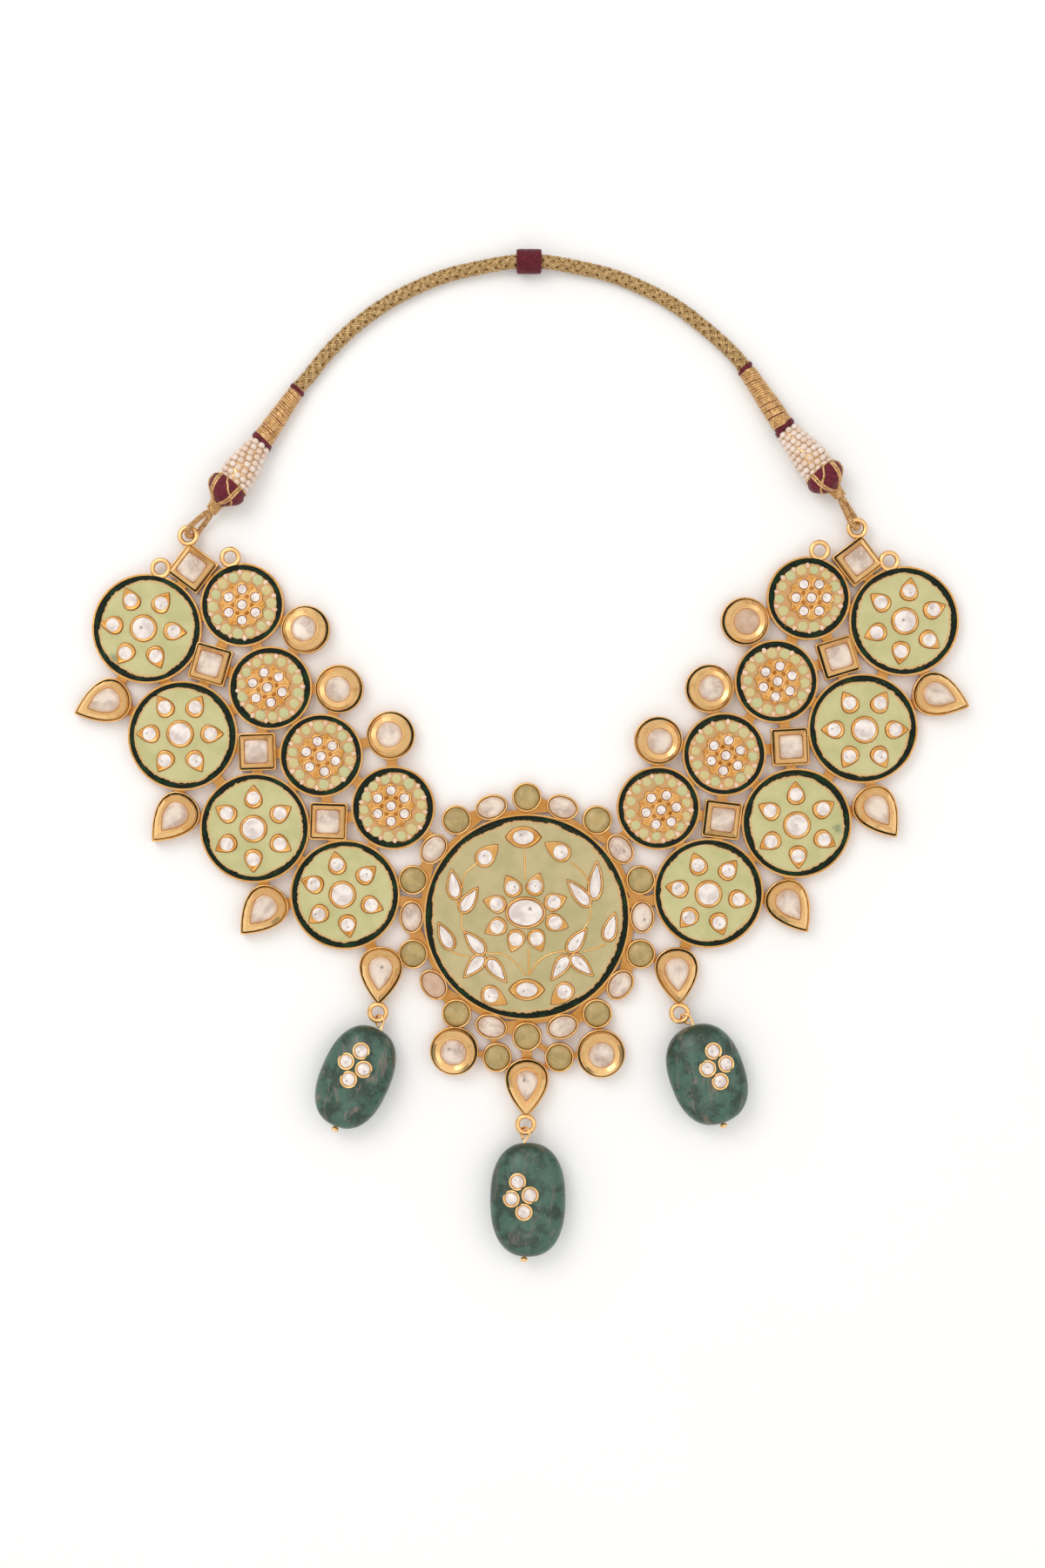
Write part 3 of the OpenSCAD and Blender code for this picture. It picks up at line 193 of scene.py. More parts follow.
class Work:
    """Points and faces of one joined piece, with a mark on every point.

    A mark is three numbers that the piece's finish may read: where the point lies on its own
    stone, thread or petal, and which one that is.
    """

    def __init__(self) -> None:
        """Start with nothing."""
        self.points: list[Vector] = []
        self.faces: list[tuple[int, ...]] = []
        self.kinds: list[int] = []
        self.marks: list[Point] = []

    def add(
        self,
        points: Sequence[Vector],
        faces: Iterable[Sequence[int]],
        kind: int = 0,
        marks: Sequence[Point] | None = None,
    ) -> None:
        """Add points and the faces between them.

        Args:
            points: New points.
            faces: Faces by the new points' own numbers.
            kind: Number of their finish.
            marks: A mark for each point.
        """
        base = len(self.points)
        before = len(self.faces)
        self.points.extend(points)
        self.faces.extend(tuple(base + i for i in face) for face in faces)
        self.kinds.extend([kind] * (len(self.faces) - before))
        self.marks.extend(marks if marks is not None else [(0.0, 0.0, 0.0)] * len(points))

    def skin(
        self,
        rings: Sequence[Sequence[Vector]],
        kind: int = 0,
        marks: Sequence[Sequence[Point]] | None = None,
        closed: bool = False,
        ends: bool = True,
    ) -> None:
        """Add a skin over rings of the same count of points.

        Args:
            rings: Rings in order, anticlockwise seen from the last one.
            kind: Number of its finish.
            marks: A mark for each point of each ring.
            closed: Whether the last ring joins the first.
            ends: Whether the open ends are filled.
        """
        n, m = len(rings[0]), len(rings)
        faces: list[tuple[int, ...]] = []
        for k in range(m if closed else m - 1):
            low, high = k * n, (k + 1) % m * n
            for i in range(n):
                j = (i + 1) % n
                faces.append((low + i, low + j, high + j, high + i))
        if ends and not closed:
            faces.append(tuple(range(n - 1, -1, -1)))
            faces.append(tuple((m - 1) * n + i for i in range(n)))
        flat_marks = [mark for ring in marks for mark in ring] if marks is not None else None
        self.add([p for ring in rings for p in ring], faces, kind, flat_marks)

    def tube(
        self,
        path: Sequence[Vector],
        radii: float | Sequence[float],
        sides: int,
        kind: int = 0,
        closed: bool = False,
        mark: float = 0.0,
    ) -> None:
        """Add a round tube along a path.

        Args:
            path: Points along its middle.
            radii: Its radius, or one for each point.
            sides: Points round it.
            kind: Number of its finish.
            closed: Whether it runs back to its start.
            mark: Third number of every point's mark; the first is the length along it.
        """
        n = len(path)
        sizes = [radii] * n if isinstance(radii, (int, float)) else list(radii)
        side = Vector((0.0, 0.0, 0.0))
        rings, marks, run = [], [], 0.0
        for i, p in enumerate(path):
            before = path[i - 1] if closed or i else p
            after = path[(i + 1) % n] if closed or i < n - 1 else p
            way = (after - before).normalized()
            side -= side.dot(way) * way
            if side.length < TINY:
                side = way.orthogonal()
            side.normalize()
            lift = way.cross(side)
            ring = []
            for j in range(sides):
                a = FULL_TURN * j / sides
                ring.append(p + sizes[i] * (math.cos(a) * side + math.sin(a) * lift))
            rings.append(ring)
            run += (p - path[i - 1]).length if i else 0.0
            marks.append([(run, j / sides, mark) for j in range(sides)])
        self.skin(rings, kind, marks, closed)

    def ball(
        self,
        middle: Vector,
        axes: tuple[Vector, Vector, Vector],
        sides: int,
        rows: int,
        kind: int = 0,
        mark: float = 0.0,
        bulge: float = 2.0,
    ) -> None:
        """Add a ball, which may be long, flat or squarish.

        Args:
            middle: Its middle.
            axes: Its three half axes; the poles lie on the last.
            sides: Points round it.
            rows: Rows of faces from pole to pole.
            kind: Number of its finish.
            mark: Third number of every point's mark.
            bulge: 2 is round, and more is squarer from pole to pole.
        """
        a, b, c = axes
        power = 2 / bulge
        points = [middle - c]
        marks = [(0.0, 0.0, mark)]
        for r in range(1, rows):
            t = math.pi * r / rows
            width = math.sin(t) ** power
            height = -math.copysign(abs(math.cos(t)) ** power, math.cos(t))
            for j in range(sides):
                g = FULL_TURN * j / sides
                points.append(middle + width * (math.cos(g) * a + math.sin(g) * b) + height * c)
                marks.append((j / sides, r / rows, mark))
        points.append(middle + c)
        marks.append((0.0, 1.0, mark))
        last = len(points) - 1
        faces: list[tuple[int, ...]] = []
        for j in range(sides):
            k = (j + 1) % sides
            faces.append((0, 1 + k, 1 + j))
            top = last - sides
            faces.append((last, top + j, top + k))
            for r in range(rows - 2):
                low, high = 1 + r * sides, 1 + (r + 1) * sides
                faces.append((low + j, low + k, high + k, high + j))
        self.add(points, faces, kind, marks)

    def piece(
        self, name: str, finishes: Sequence[bpy.types.Material], smooth: bool = True
    ) -> bpy.types.Object:
        """Make the object, in metres, riding on the necklace.

        Args:
            name: Its name.
            finishes: Its materials in the order of the faces' kinds.
            smooth: Whether faces are shaded round.

        Returns:
            The object.
        """
        mesh = bpy.data.meshes.new(name)
        mesh.from_pydata([tuple(MM * p) for p in self.points], [], self.faces)
        mesh.polygons.foreach_set("use_smooth", [smooth] * len(mesh.polygons))
        mesh.polygons.foreach_set("material_index", self.kinds)
        marks = mesh.attributes.new("mark", "FLOAT_VECTOR", "POINT")
        marks.data.foreach_set("vector", [number for mark in self.marks for number in mark])
        for finish in finishes:
            mesh.materials.append(finish)
        mesh.update()
        made = bpy.data.objects.new(name, mesh)
        bpy.context.scene.collection.objects.link(made)
        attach(made, "root")
        LOG.info("%s: %d faces", name, len(mesh.polygons))
        return made


class Route:
    """A smooth way through rows of place and radius, with a frame carried along it."""

    def __init__(self, rows: Sequence[Row], step: float = 0.25) -> None:
        """Work out the way.

        Args:
            rows: x, y, z and radius of each station.
            step: Distance between the points worked out.
        """
        self.points: list[Vector] = []
        self.radii: list[float] = []
        knots = [Vector(row[:3]) for row in rows]
        sizes = [row[3] for row in rows]
        n = len(knots)
        for i in range(n - 1):
            ends = [max(i - 1, 0), i, i + 1, min(i + 2, n - 1)]
            count = max(2, math.ceil((knots[i + 1] - knots[i]).length / step))
            for j in range(count + (i == n - 2)):
                t = j / count
                self.points.append(self.between([knots[k] for k in ends], t))
                low, high = sizes[i], sizes[i + 1]
                size = self.between([Vector((sizes[k], 0, 0)) for k in ends], t).x
                self.radii.append(min(max(size, min(low, high)), max(low, high)))
        self.lengths = [0.0]
        for p, q in zip(self.points, self.points[1:]):
            self.lengths.append(self.lengths[-1] + (q - p).length)
        self.length = self.lengths[-1]

    @staticmethod
    def between(knots: Sequence[Vector], t: float) -> Vector:
        """Point of a smooth curve at a share of the way between the middle two of four knots."""
        a, b, c, d = knots
        return 0.5 * (
            2 * b
            + (c - a) * t
            + (2 * a - 5 * b + 4 * c - d) * t * t
            + (3 * b - a - 3 * c + d) * t * t * t
        )

    def at(self, s: float) -> tuple[Vector, Vector, Vector, Vector, float]:
        """What the way is like at a distance along it.

        Args:
            s: Distance from the start; it may lie past the ends.

        Returns:
            Place, direction along, direction to the left, direction up, and radius.
        """
        i = min(max(bisect.bisect_right(self.lengths, s) - 1, 0), len(self.points) - 2)
        span = self.lengths[i + 1] - self.lengths[i]
        t = (s - self.lengths[i]) / span if span else 0.0
        place = self.points[i].lerp(self.points[i + 1], t)
        before = self.points[max(i - 1, 0)]
        after = self.points[min(i + 2, len(self.points) - 1)]
        way = (after - before).normalized()
        side = UP.cross(way).normalized()
        radius = self.radii[i] + (self.radii[i + 1] - self.radii[i]) * min(max(t, 0.0), 1.0)
        return place, way, side, way.cross(side), radius

    def round(self, s: float, degrees: float, out: float) -> Vector:
        """Point round the way.

        Args:
            s: Distance along it.
            degrees: Angle from its left side; 90 is on top.
            out: Distance from its middle.

        Returns:
            The point.
        """
        place, _, side, lift, _ = self.at(s)
        a = math.radians(degrees)
        return place + out * (math.cos(a) * side + math.sin(a) * lift)

    def skin_of(
        self,
        start: float,
        end: float,
        step: float,
        sides: int,
        out: Callable[[float, float], float],
    ) -> list[list[Vector]]:
        """Rings round a stretch of the way.

        Args:
            start: Distance along it where the stretch starts.
            end: Where it ends.
            step: Distance between rings.
            sides: Points round each ring.
            out: Distance from the middle at a distance along and an angle in degrees.

        Returns:
            The rings.
        """
        count = max(2, round((end - start) / step))
        rings = []
        for k in range(count + 1):
            s = start + (end - start) * k / count
            angles = [360 * j / sides for j in range(sides)]
            rings.append([self.round(s, a, out(s, a)) for a in angles])
        return rings


# Finishes


class Nodes:
    """Nodes put together socket by socket."""

    def __init__(self, tree: bpy.types.NodeTree) -> None:
        """Start in a tree of nodes."""
        self.tree = tree

    def node(self, kind: str, *values: Feed, **settings: str) -> bpy.types.Node:
        """Add a node.

        Args:
            kind: Its type, without ShaderNode in front.
            values: What its first sockets get, in order.
            settings: Its settings.

        Returns:
            The node.
        """
        node = self.tree.nodes.new("ShaderNode" + kind)
        for name, setting in settings.items():
            setattr(node, name, setting)
        for socket, value in zip(node.inputs, values):
            self.feed(socket, value)
        return node

    def feed(self, socket: Socket, value: Feed) -> None:
        """Give a socket a number, a colour or another socket's value.

        Args:
            socket: The socket.
            value: What it gets.
        """
        if isinstance(value, bpy.types.NodeSocket):
            self.tree.links.new(value, socket)
        elif isinstance(value, (int, float)):
            socket.default_value = value
        elif socket.type == "RGBA":
            socket.default_value = (*value, 1.0)
        else:
            socket.default_value = value

    def math(self, how: str, *values: Feed) -> Socket:
        """Work out a number from others."""
        return self.node("Math", *values, operation=how).outputs[0]

    def times(self, a: Feed, b: Feed) -> Socket:
        """One number times another."""
        return self.math("MULTIPLY", a, b)

    def plus(self, a: Feed, b: Feed) -> Socket:
        """One number and another together."""
        return self.math("ADD", a, b)

    def less(self, a: Feed, b: Feed) -> Socket:
        """One number less another."""
        return self.math("SUBTRACT", a, b)

    def length(self, x: Feed, y: Feed) -> Socket:
        """Length of a way in the plane."""
        return self.math("SQRT", self.plus(self.times(x, x), self.times(y, y)))

    def mix(self, share: Feed, low: Feed, high: Feed) -> Socket:
        """Mix two colours.

        Args:
            share: How much of the second.
            low: First colour.
            high: Second colour.

        Returns:
            The mixed colour.
        """
        node = self.node("Mix", share, data_type="RGBA")
        self.feed(node.inputs[6], low)
        self.feed(node.inputs[7], high)
        return node.outputs[2]

    def step(
        self, value: Feed, low: Feed, high: Feed, to_low: float = 0.0, to_high: float = 1.0
    ) -> Socket:
        """Number that goes softly from to_low to to_high as a value goes from low to high."""
        given = (value, low, high, to_low, to_high)
        return self.node("MapRange", *given, interpolation_type="SMOOTHSTEP").outputs["Result"]


class Graph(Nodes):
    """The nodes of one material."""

    def __init__(self, name: str) -> None:
        """Start a material with an empty shader.

        Args:
            name: Name of the material.
        """
        self.material = bpy.data.materials.new(name)
        self.material.use_nodes = True
        super().__init__(self.material.node_tree)
        self.tree.nodes.clear()
        self.shader = self.node("BsdfPrincipled")
        self.node("OutputMaterial", self.shader.outputs[0])
        self.place: Socket = self.node("TexCoord").outputs["Object"]

    def set(self, **inputs: Feed) -> None:
        """Set the shader's inputs, whose names have _ for a space."""
        for name, value in inputs.items():
            self.feed(self.shader.inputs[name.replace("_", " ")], value)

    def stretched(self, scale: Point) -> Socket:
        """Stretch the object's coordinates.

        Args:
            scale: Scale along each axis.

        Returns:
            The new coordinates.
        """
        node = self.node("Mapping", self.place, vector_type="TEXTURE")
        node.inputs["Scale"].default_value = tuple(1 / s for s in scale)
        return node.outputs[0]

    def noise(
        self,
        size: float,
        detail: float = 2.0,
        rough: float = 0.5,
        place: Socket | None = None,
        warp: float = 0.0,
    ) -> Socket:
        """Soft random pattern.

        Args:
            size: Size of its spots in millimetres.
            detail: Finer layers added.
            rough: Strength of the finer layers.
            place: Coordinates, or the object's own.
            warp: Distortion.

        Returns:
            A number about 0.5.
        """
        node = self.node("TexNoise", place or self.place)
        node.inputs["Scale"].default_value = 1 / (size * MM)
        node.inputs["Detail"].default_value = detail
        node.inputs["Roughness"].default_value = rough
        node.inputs["Distortion"].default_value = warp
        return node.outputs["Fac"]

    def near(self, middles: Sequence[Vector]) -> Socket:
        """Distance in the plane to the nearest of some places.

        Args:
            middles: The places.

        Returns:
            The distance in millimetres.
        """
        scale = (1 / MM, 1 / MM, 0.0)
        here = self.node("VectorMath", self.place, scale, operation="MULTIPLY").outputs[0]
        gaps = []
        for p in middles:
            node = self.node("VectorMath", here, (p.x, p.y, 0.0), operation="DISTANCE")
            gaps.append(node.outputs["Value"])
        nearest = gaps[0]
        for gap in gaps[1:]:
            nearest = self.math("MINIMUM", nearest, gap)
        return nearest

    def height(self) -> Socket:
        """Height above the surface that the necklace lies on, in millimetres."""
        return self.times(self.node("SeparateXYZ", self.place).outputs["Z"], 1 / MM)

    def mark(self) -> tuple[Socket, ...]:
        """The three numbers of the mesh's marks."""
        stored = self.node("Attribute", attribute_name="mark").outputs["Vector"]
        return tuple(self.node("SeparateXYZ", stored).outputs)

    def joined(self, x: Feed, y: Feed, z: Feed) -> Socket:
        """Coordinates from three numbers."""
        return self.node("CombineXYZ", x, y, z).outputs[0]

    def bump(self, height: Socket, depth: float, strength: float = 1.0) -> None:
        """Raise and sink the surface by a pattern, over a bump made before.

        Args:
            height: The pattern.
            depth: Its depth in millimetres.
            strength: How much of it shows.
        """
        node = self.node("Bump")
        self.feed(node.inputs["Height"], height)
        node.inputs["Distance"].default_value = depth * MM
        node.inputs["Strength"].default_value = strength
        for link in list(self.shader.inputs["Normal"].links):
            self.tree.links.new(link.from_socket, node.inputs["Normal"])
        self.feed(self.shader.inputs["Normal"], node.outputs[0])


class Finish:
    """A finish, painted with the nodes of a material."""

    def paint(self, g: Graph) -> None:
        """Wire the finish's nodes."""
        raise NotImplementedError

    def material(self, name: str) -> bpy.types.Material:
        """Make a material of the finish.

        Args:
            name: Its name.

        Returns:
            The material.
        """
        g = Graph(name)
        self.paint(g)
        return g.material


class Tone(IntEnum):
    """Which gold a face of the stones' settings has: bright wire, the bowls' gold darkened as
    painted shade, and dark gold for lines of painted shadow.
    """

    WIRE = 0
    BOWL = 1
    SHADE = 2


@dataclass(frozen=True)
class Gold(Finish):
    """Soldered gold sheet and wire, worked by hand: painted shade low down, paler polish and
    painted highlight up high.
    """

    bright: Colour = (0.79, 0.44, 0.155)
    warm: Colour = (0.72, 0.36, 0.09)
    # Paler gold of the high settings: their polish, and a painted highlight
    polish_and_highlight: Colour = (1.0, 0.64, 0.28)
    # Brown of the random stains, and of the shade painted low down
    stain_and_shade: Colour = (0.42, 0.15, 0.025)
    shine: float = 0.24
    hammer: float = 0.03
    # Heights over which the shade painted low down fades out
    low: float = 0.9
    high: float = 2.4
    # Heights over which the paler gold of polish and painted highlight comes in
    highlight_from: float = 3.2
    highlight_to: float = 3.6

    def paint(self, g: Graph) -> None:
        """Brown it in patches, paint shade low down, pale it up high for polish and painted
        highlight, and hammer it softly.

        Args:
            g: Nodes of its material.
        """
        patches = g.step(g.noise(3.6, 3.0, 0.55), 0.38, 0.66)
        skin = g.mix(patches, self.bright, self.warm)
        # Paler gold on the high settings, partly their polish and partly a painted highlight; less
        # metal there brightens them too
        highlight_share = g.step(g.height(), self.highlight_from, self.highlight_to, 0.0, 0.85)
        skin = g.mix(highlight_share, skin, self.polish_and_highlight)
        stain = g.times(g.step(g.noise(2.2, 3.0, 0.6), 0.54, 0.76), 0.38)
        skin = g.mix(stain, skin, self.stain_and_shade)
        # Painted shade: the gold browns low down, on the recess floors and on the bars
        ragged = g.plus(g.height(), g.times(g.noise(1.5, 2.0), 0.9))
        level = g.step(ragged, self.low, self.high + 0.45)
        g.set(
            Base_Color=g.mix(level, g.mix(0.55, skin, self.stain_and_shade), skin),
            Metallic=g.step(g.height(), self.highlight_from, self.highlight_to, 1.0, 0.72),
            Roughness=g.step(g.noise(2.0, 2.0), 0.3, 0.7, self.shine - 0.07, self.shine + 0.05),
        )
        g.bump(g.noise(2.4, 1.0, 0.4, warp=0.4), self.hammer, 0.6)
        g.bump(g.noise(0.25, 2.0, 0.6), 0.001, 0.2)


@dataclass(frozen=True)
class Enamel(Finish):
    """Opaque enamel fields round some middles, with a ragged dark line from reach outwards."""

    pale: Colour
    tint: Colour
    speck: Colour
    middles: tuple[Vector, ...]
    reach: float
    line: Colour = (0.006, 0.014, 0.006)
    edge: Colour = (0.62, 0.30, 0.10)
    smudge: Colour = (0.15, 0.20, 0.11)
    smudges: tuple[tuple[float, float], ...] = ()

    def paint(self, g: Graph) -> None:
        """Cloud and speckle the field, smudge it, and draw the ragged line round it.

        Args:
            g: Nodes of its material.
        """
        cloud = g.step(g.noise(5.0, 3.0, 0.55), 0.35, 0.68)
        field_colour = g.mix(cloud, self.pale, self.tint)
        grain = g.times(g.step(g.noise(0.35, 3.0, 0.7), 0.62, 0.78), 0.35)
        field_colour = g.mix(grain, field_colour, self.speck)
        if self.smudges:
            away = g.near([Vector((*spot, 0.0)) for spot in self.smudges])
            away = g.plus(away, g.times(g.noise(0.9, 3.0, 0.6), 2.0))
            field_colour = g.mix(g.step(away, 1.3, 2.6, 0.7, 0.0), field_colour, self.smudge)
        out = g.near(self.middles)
        fine = g.less(g.noise(1.1, 3.0, 0.6), 0.5)
        broad = g.times(g.less(g.noise(8.0, 1.0), 0.5), 1.6)
        ragged = g.plus(out, g.plus(fine, broad))
        start, full = self.reach - 0.3, self.reach - 0.16
        warm = g.times(g.step(ragged, self.reach - 0.95, start), 0.7)
        field_colour = g.mix(warm, field_colour, self.edge)
        field_colour = g.mix(g.step(ragged, start, full), field_colour, self.line)
        g.set(
            Base_Color=field_colour,
            Roughness=g.step(g.noise(1.3, 3.0), 0.3, 0.7, 0.24, 0.40),
            Specular_IOR_Level=g.step(ragged, start, full, 0.4, 0.12),
        )
        g.bump(g.noise(2.4, 3.0, 0.5), 0.06, 0.35)
        g.bump(g.noise(0.3, 2.0), 0.012, 0.3)


@dataclass(frozen=True)
class Line(Finish):
    """Dark glassy line between a rim and its field, chipped here and there."""

    dark: Colour = (0.005, 0.010, 0.005)
    green: Colour = (0.008, 0.035, 0.010)
    chip: Colour = (0.55, 0.30, 0.12)

    def paint(self, g: Graph) -> None:
        """Streak the dark glass with green, and chip it.

        Args:
            g: Nodes of its material.
        """
        glass = g.mix(g.step(g.noise(3.0, 3.0), 0.45, 0.7), self.dark, self.green)
        chips = g.step(g.noise(0.8, 4.0, 0.65), 0.70, 0.74)
        g.set(
            Base_Color=g.mix(chips, glass, self.chip),
            Roughness=g.step(g.noise(0.6, 2.0), 0.3, 0.7, 0.24, 0.42),
            Specular_IOR_Level=0.14,
        )
        g.bump(g.noise(1.0, 3.0, 0.6), 0.08, 0.5)


@dataclass(frozen=True)
class ClearStone(Finish):
    """Flat uncut diamond over foil: whitish pink, with a dark speck, soft facets, painted
    reflections, and a painted shadow at its edge.

    A mark holds the place on the stone as shares of its outline, and the stone's number.
    The stones numbered in amber have that tint, and band is how strongly it rings every stone.
    """

    light: Colour = (0.86, 0.79, 0.74)
    rose: Colour = (0.60, 0.51, 0.47)
    dark: Colour = (0.16, 0.12, 0.10)
    # Brown of the shadow painted at every stone's edge
    rim: Colour = (0.30, 0.13, 0.05)
    tint: Colour = (0.50, 0.27, 0.13)
    band: float = 0.0
    amber: tuple[float, ...] = ()

    def paint(self, g: Graph) -> None:
        """Cloud, vein and speck each stone by its number, the cloud partly painted reflection, and
        paint shadow at its edge.

        Args:
            g: Nodes of its material.
        """
        u, v, number = g.mark()
        own = g.joined(u, v, number)
        # Light and rose patches: the stone's mottling, partly painted reflections of its foil
        wide = g.noise(1 / MM, 2.0, 0.5, g.joined(u, v, g.times(number, 7.3)))
        colour = g.mix(g.step(wide, 0.34, 0.72), self.light, self.rose)
        veins = g.noise(0.35 / MM, 3.0, 0.6, own, 1.2)
        colour = g.mix(g.times(g.step(veins, 0.56, 0.64), 0.5), colour, self.light)
        for tinted in self.amber:
            off = g.math("ABSOLUTE", g.less(number, tinted))
            colour = g.mix(g.step(off, 0.3, 0.6, 0.6, 0.0), colour, self.tint)
        shift = g.times(g.math("SINE", g.times(number, 12.9)), 0.3)
        lift = g.times(g.math("SINE", g.times(number, 4.7)), 0.3)
        away = g.length(g.less(u, shift), g.less(v, lift))
        away = g.plus(away, g.times(g.noise(0.2 / MM, 3.0, 0.6, own), 0.32))
        speck = g.step(away, 0.20, 0.36, 0.75, 0.0)
        there = g.step(g.math("SINE", g.times(number, 31.7)), 0.2, 0.4)
        colour = g.mix(g.times(speck, there), colour, self.dark)
        out = g.length(u, v)
        if self.band:
            colour = g.mix(g.step(out, 0.58, 0.92, 0.0, self.band), colour, self.tint)
        # Painted shadow at the stone's edge
        colour = g.mix(g.step(out, 0.91, 0.99, 0.0, 0.85), colour, self.rim)
        g.set(
            Base_Color=colour,
            Roughness=g.step(wide, 0.3, 0.7, 0.10, 0.26),
            Coat_Weight=0.3,
            Coat_Roughness=0.06,
            IOR=1.55,
        )
        g.bump(g.noise(0.5 / MM, 1.0, 0.4, own), 0.05, 0.4)


@dataclass(frozen=True)
class SatinStone(Finish):
    """Polished opaque stone in soft patches and streaks."""

    base: Colour
    patch: Colour
    vein: Colour
    patch_size: float
    rough: float
    vein_share: float = 0.5

    def paint(self, g: Graph) -> None:
        """Lay soft patches, streaks and fine grain.

        Args:
            g: Nodes of its material.
        """
        soft = g.noise(self.patch_size, 4.0, 0.62, warp=0.4)
        colour = g.mix(g.step(soft, 0.41, 0.59), self.base, self.patch)
        long = g.noise(self.patch_size * 0.6, 4.0, 0.66, g.stretched((1.0, 0.35, 1.0)), 0.8)
        share = g.times(g.step(long, 0.53, 0.68), self.vein_share)
        colour = g.mix(share, colour, self.vein)
        fine = g.step(g.noise(self.patch_size * 0.09, 3.0, 0.7), 0.45, 0.75, 0.0, 0.35)
        colour = g.mix(fine, colour, self.vein)
        g.set(
            Base_Color=colour,
            Roughness=g.step(soft, 0.3, 0.7, self.rough, self.rough + 0.14),
            Coat_Weight=0.12,
            Coat_Roughness=0.25,
        )
        g.bump(g.noise(1.4, 3.0), 0.05, 0.3)


@dataclass(frozen=True)
class Pearl(Finish):
    """Small cream pearls, each of its own tone."""

    cream: Colour = (0.75, 0.57, 0.44)
    pale: Colour = (0.82, 0.69, 0.60)
    rose: Colour = (0.70, 0.48, 0.38)

    def paint(self, g: Graph) -> None:
        """Give each pearl its tone and a faint blush.

        Args:
            g: Nodes of its material.
        """
        _, _, number = g.mark()
        tone = g.math("FRACT", g.times(number, 7.77))
        colour = g.mix(g.step(tone, 0.2, 0.8), self.cream, self.pale)
        blush = g.step(g.noise(1.1, 2.0), 0.5, 0.7, 0.0, 0.5)
        g.set(
            Base_Color=g.mix(blush, colour, self.rose),
            Roughness=g.step(g.noise(0.4, 2.0), 0.3, 0.7, 0.26, 0.42),
            Coat_Weight=0.5,
            Coat_Roughness=0.12,
            Sheen_Weight=0.2,
        )
        g.bump(g.noise(0.3, 2.0), 0.015, 0.4)


@dataclass(frozen=True)
class Thread(Finish):
    """Thread of silk or of metal, with a twist along every strand."""

    light: Colour
    dark: Colour
    rough: float
    metal: float
    twist: float = 0.35
    painted_glint_share: float = 0.0
    painted_glint: Colour = (1.0, 0.86, 0.6)

    def paint(self, g: Graph) -> None:
        """Twist the strands with painted shade in their grooves, and paint glints on metal ones.

        Args:
            g: Nodes of its material.
        """
        along, about, number = g.mark()
        slope = g.plus(g.math("DIVIDE", along, self.twist), g.times(about, 2.0))
        twist = g.math("SINE", g.times(slope, math.pi))
        tone = g.step(g.noise(0.8, 3.0, 0.65), 0.32, 0.7)
        colour = g.mix(tone, self.light, self.dark)
        # Painted shade in the grooves of the twist
        colour = g.mix(g.step(twist, -0.9, -0.1, 0.5, 0.0), colour, self.dark)
        # Painted glints on metal thread
        if self.painted_glint_share:
            points = g.step(g.noise(0.16, 2.0, 0.7), 0.62, 0.74, 0.0, self.painted_glint_share)
            colour = g.mix(points, colour, self.painted_glint)
        g.set(
            Base_Color=colour,
            Metallic=self.metal,
            Roughness=g.step(tone, 0.0, 1.0, self.rough, self.rough + 0.12),
            Sheen_Weight=0.0 if self.metal else 0.08,
            Specular_IOR_Level=0.5 if self.metal else 0.2,
        )
        g.bump(twist, 0.04, 0.6)


@dataclass(frozen=True)
class Petal(Finish):
    """Painted enamel petals or dots, each of its own tone."""

    tones: tuple[Colour, Colour, Colour]
    grain: Colour = (0.60, 0.42, 0.24)

    def paint(self, g: Graph) -> None:
        """Give each petal its tone and a grainy cloud.

        Args:
            g: Nodes of its material.
        """
        _, _, number = g.mark()
        tone = g.math("FRACT", g.times(number, 5.31))
        colour = g.mix(g.step(tone, 0.1, 0.5), self.tones[0], self.tones[1])
        colour = g.mix(g.step(tone, 0.5, 0.95), colour, self.tones[2])
        cloud = g.step(g.noise(0.7, 3.0, 0.65), 0.5, 0.78, 0.0, 0.6)
        g.set(
            Base_Color=g.mix(cloud, colour, self.grain),
            Roughness=g.step(g.noise(0.5, 2.0), 0.3, 0.7, 0.22, 0.4),
            Coat_Weight=0.4,
            Coat_Roughness=0.12,
        )
        g.bump(g.noise(0.5, 3.0), 0.04, 0.4)


@dataclass(frozen=True)
class Paper(Finish):
    """Plain pale floor."""

    white: Colour = (0.93, 0.93, 0.93)
    grey: Colour = (0.88, 0.88, 0.88)

    def paint(self, g: Graph) -> None:
        """Cloud the sheet faintly."""
        tone = g.step(g.noise(40.0, 2.0), 0.3, 0.7, 0.0, 0.06)
        g.set(Base_Color=g.mix(tone, self.white, self.grey), Roughness=0.9)


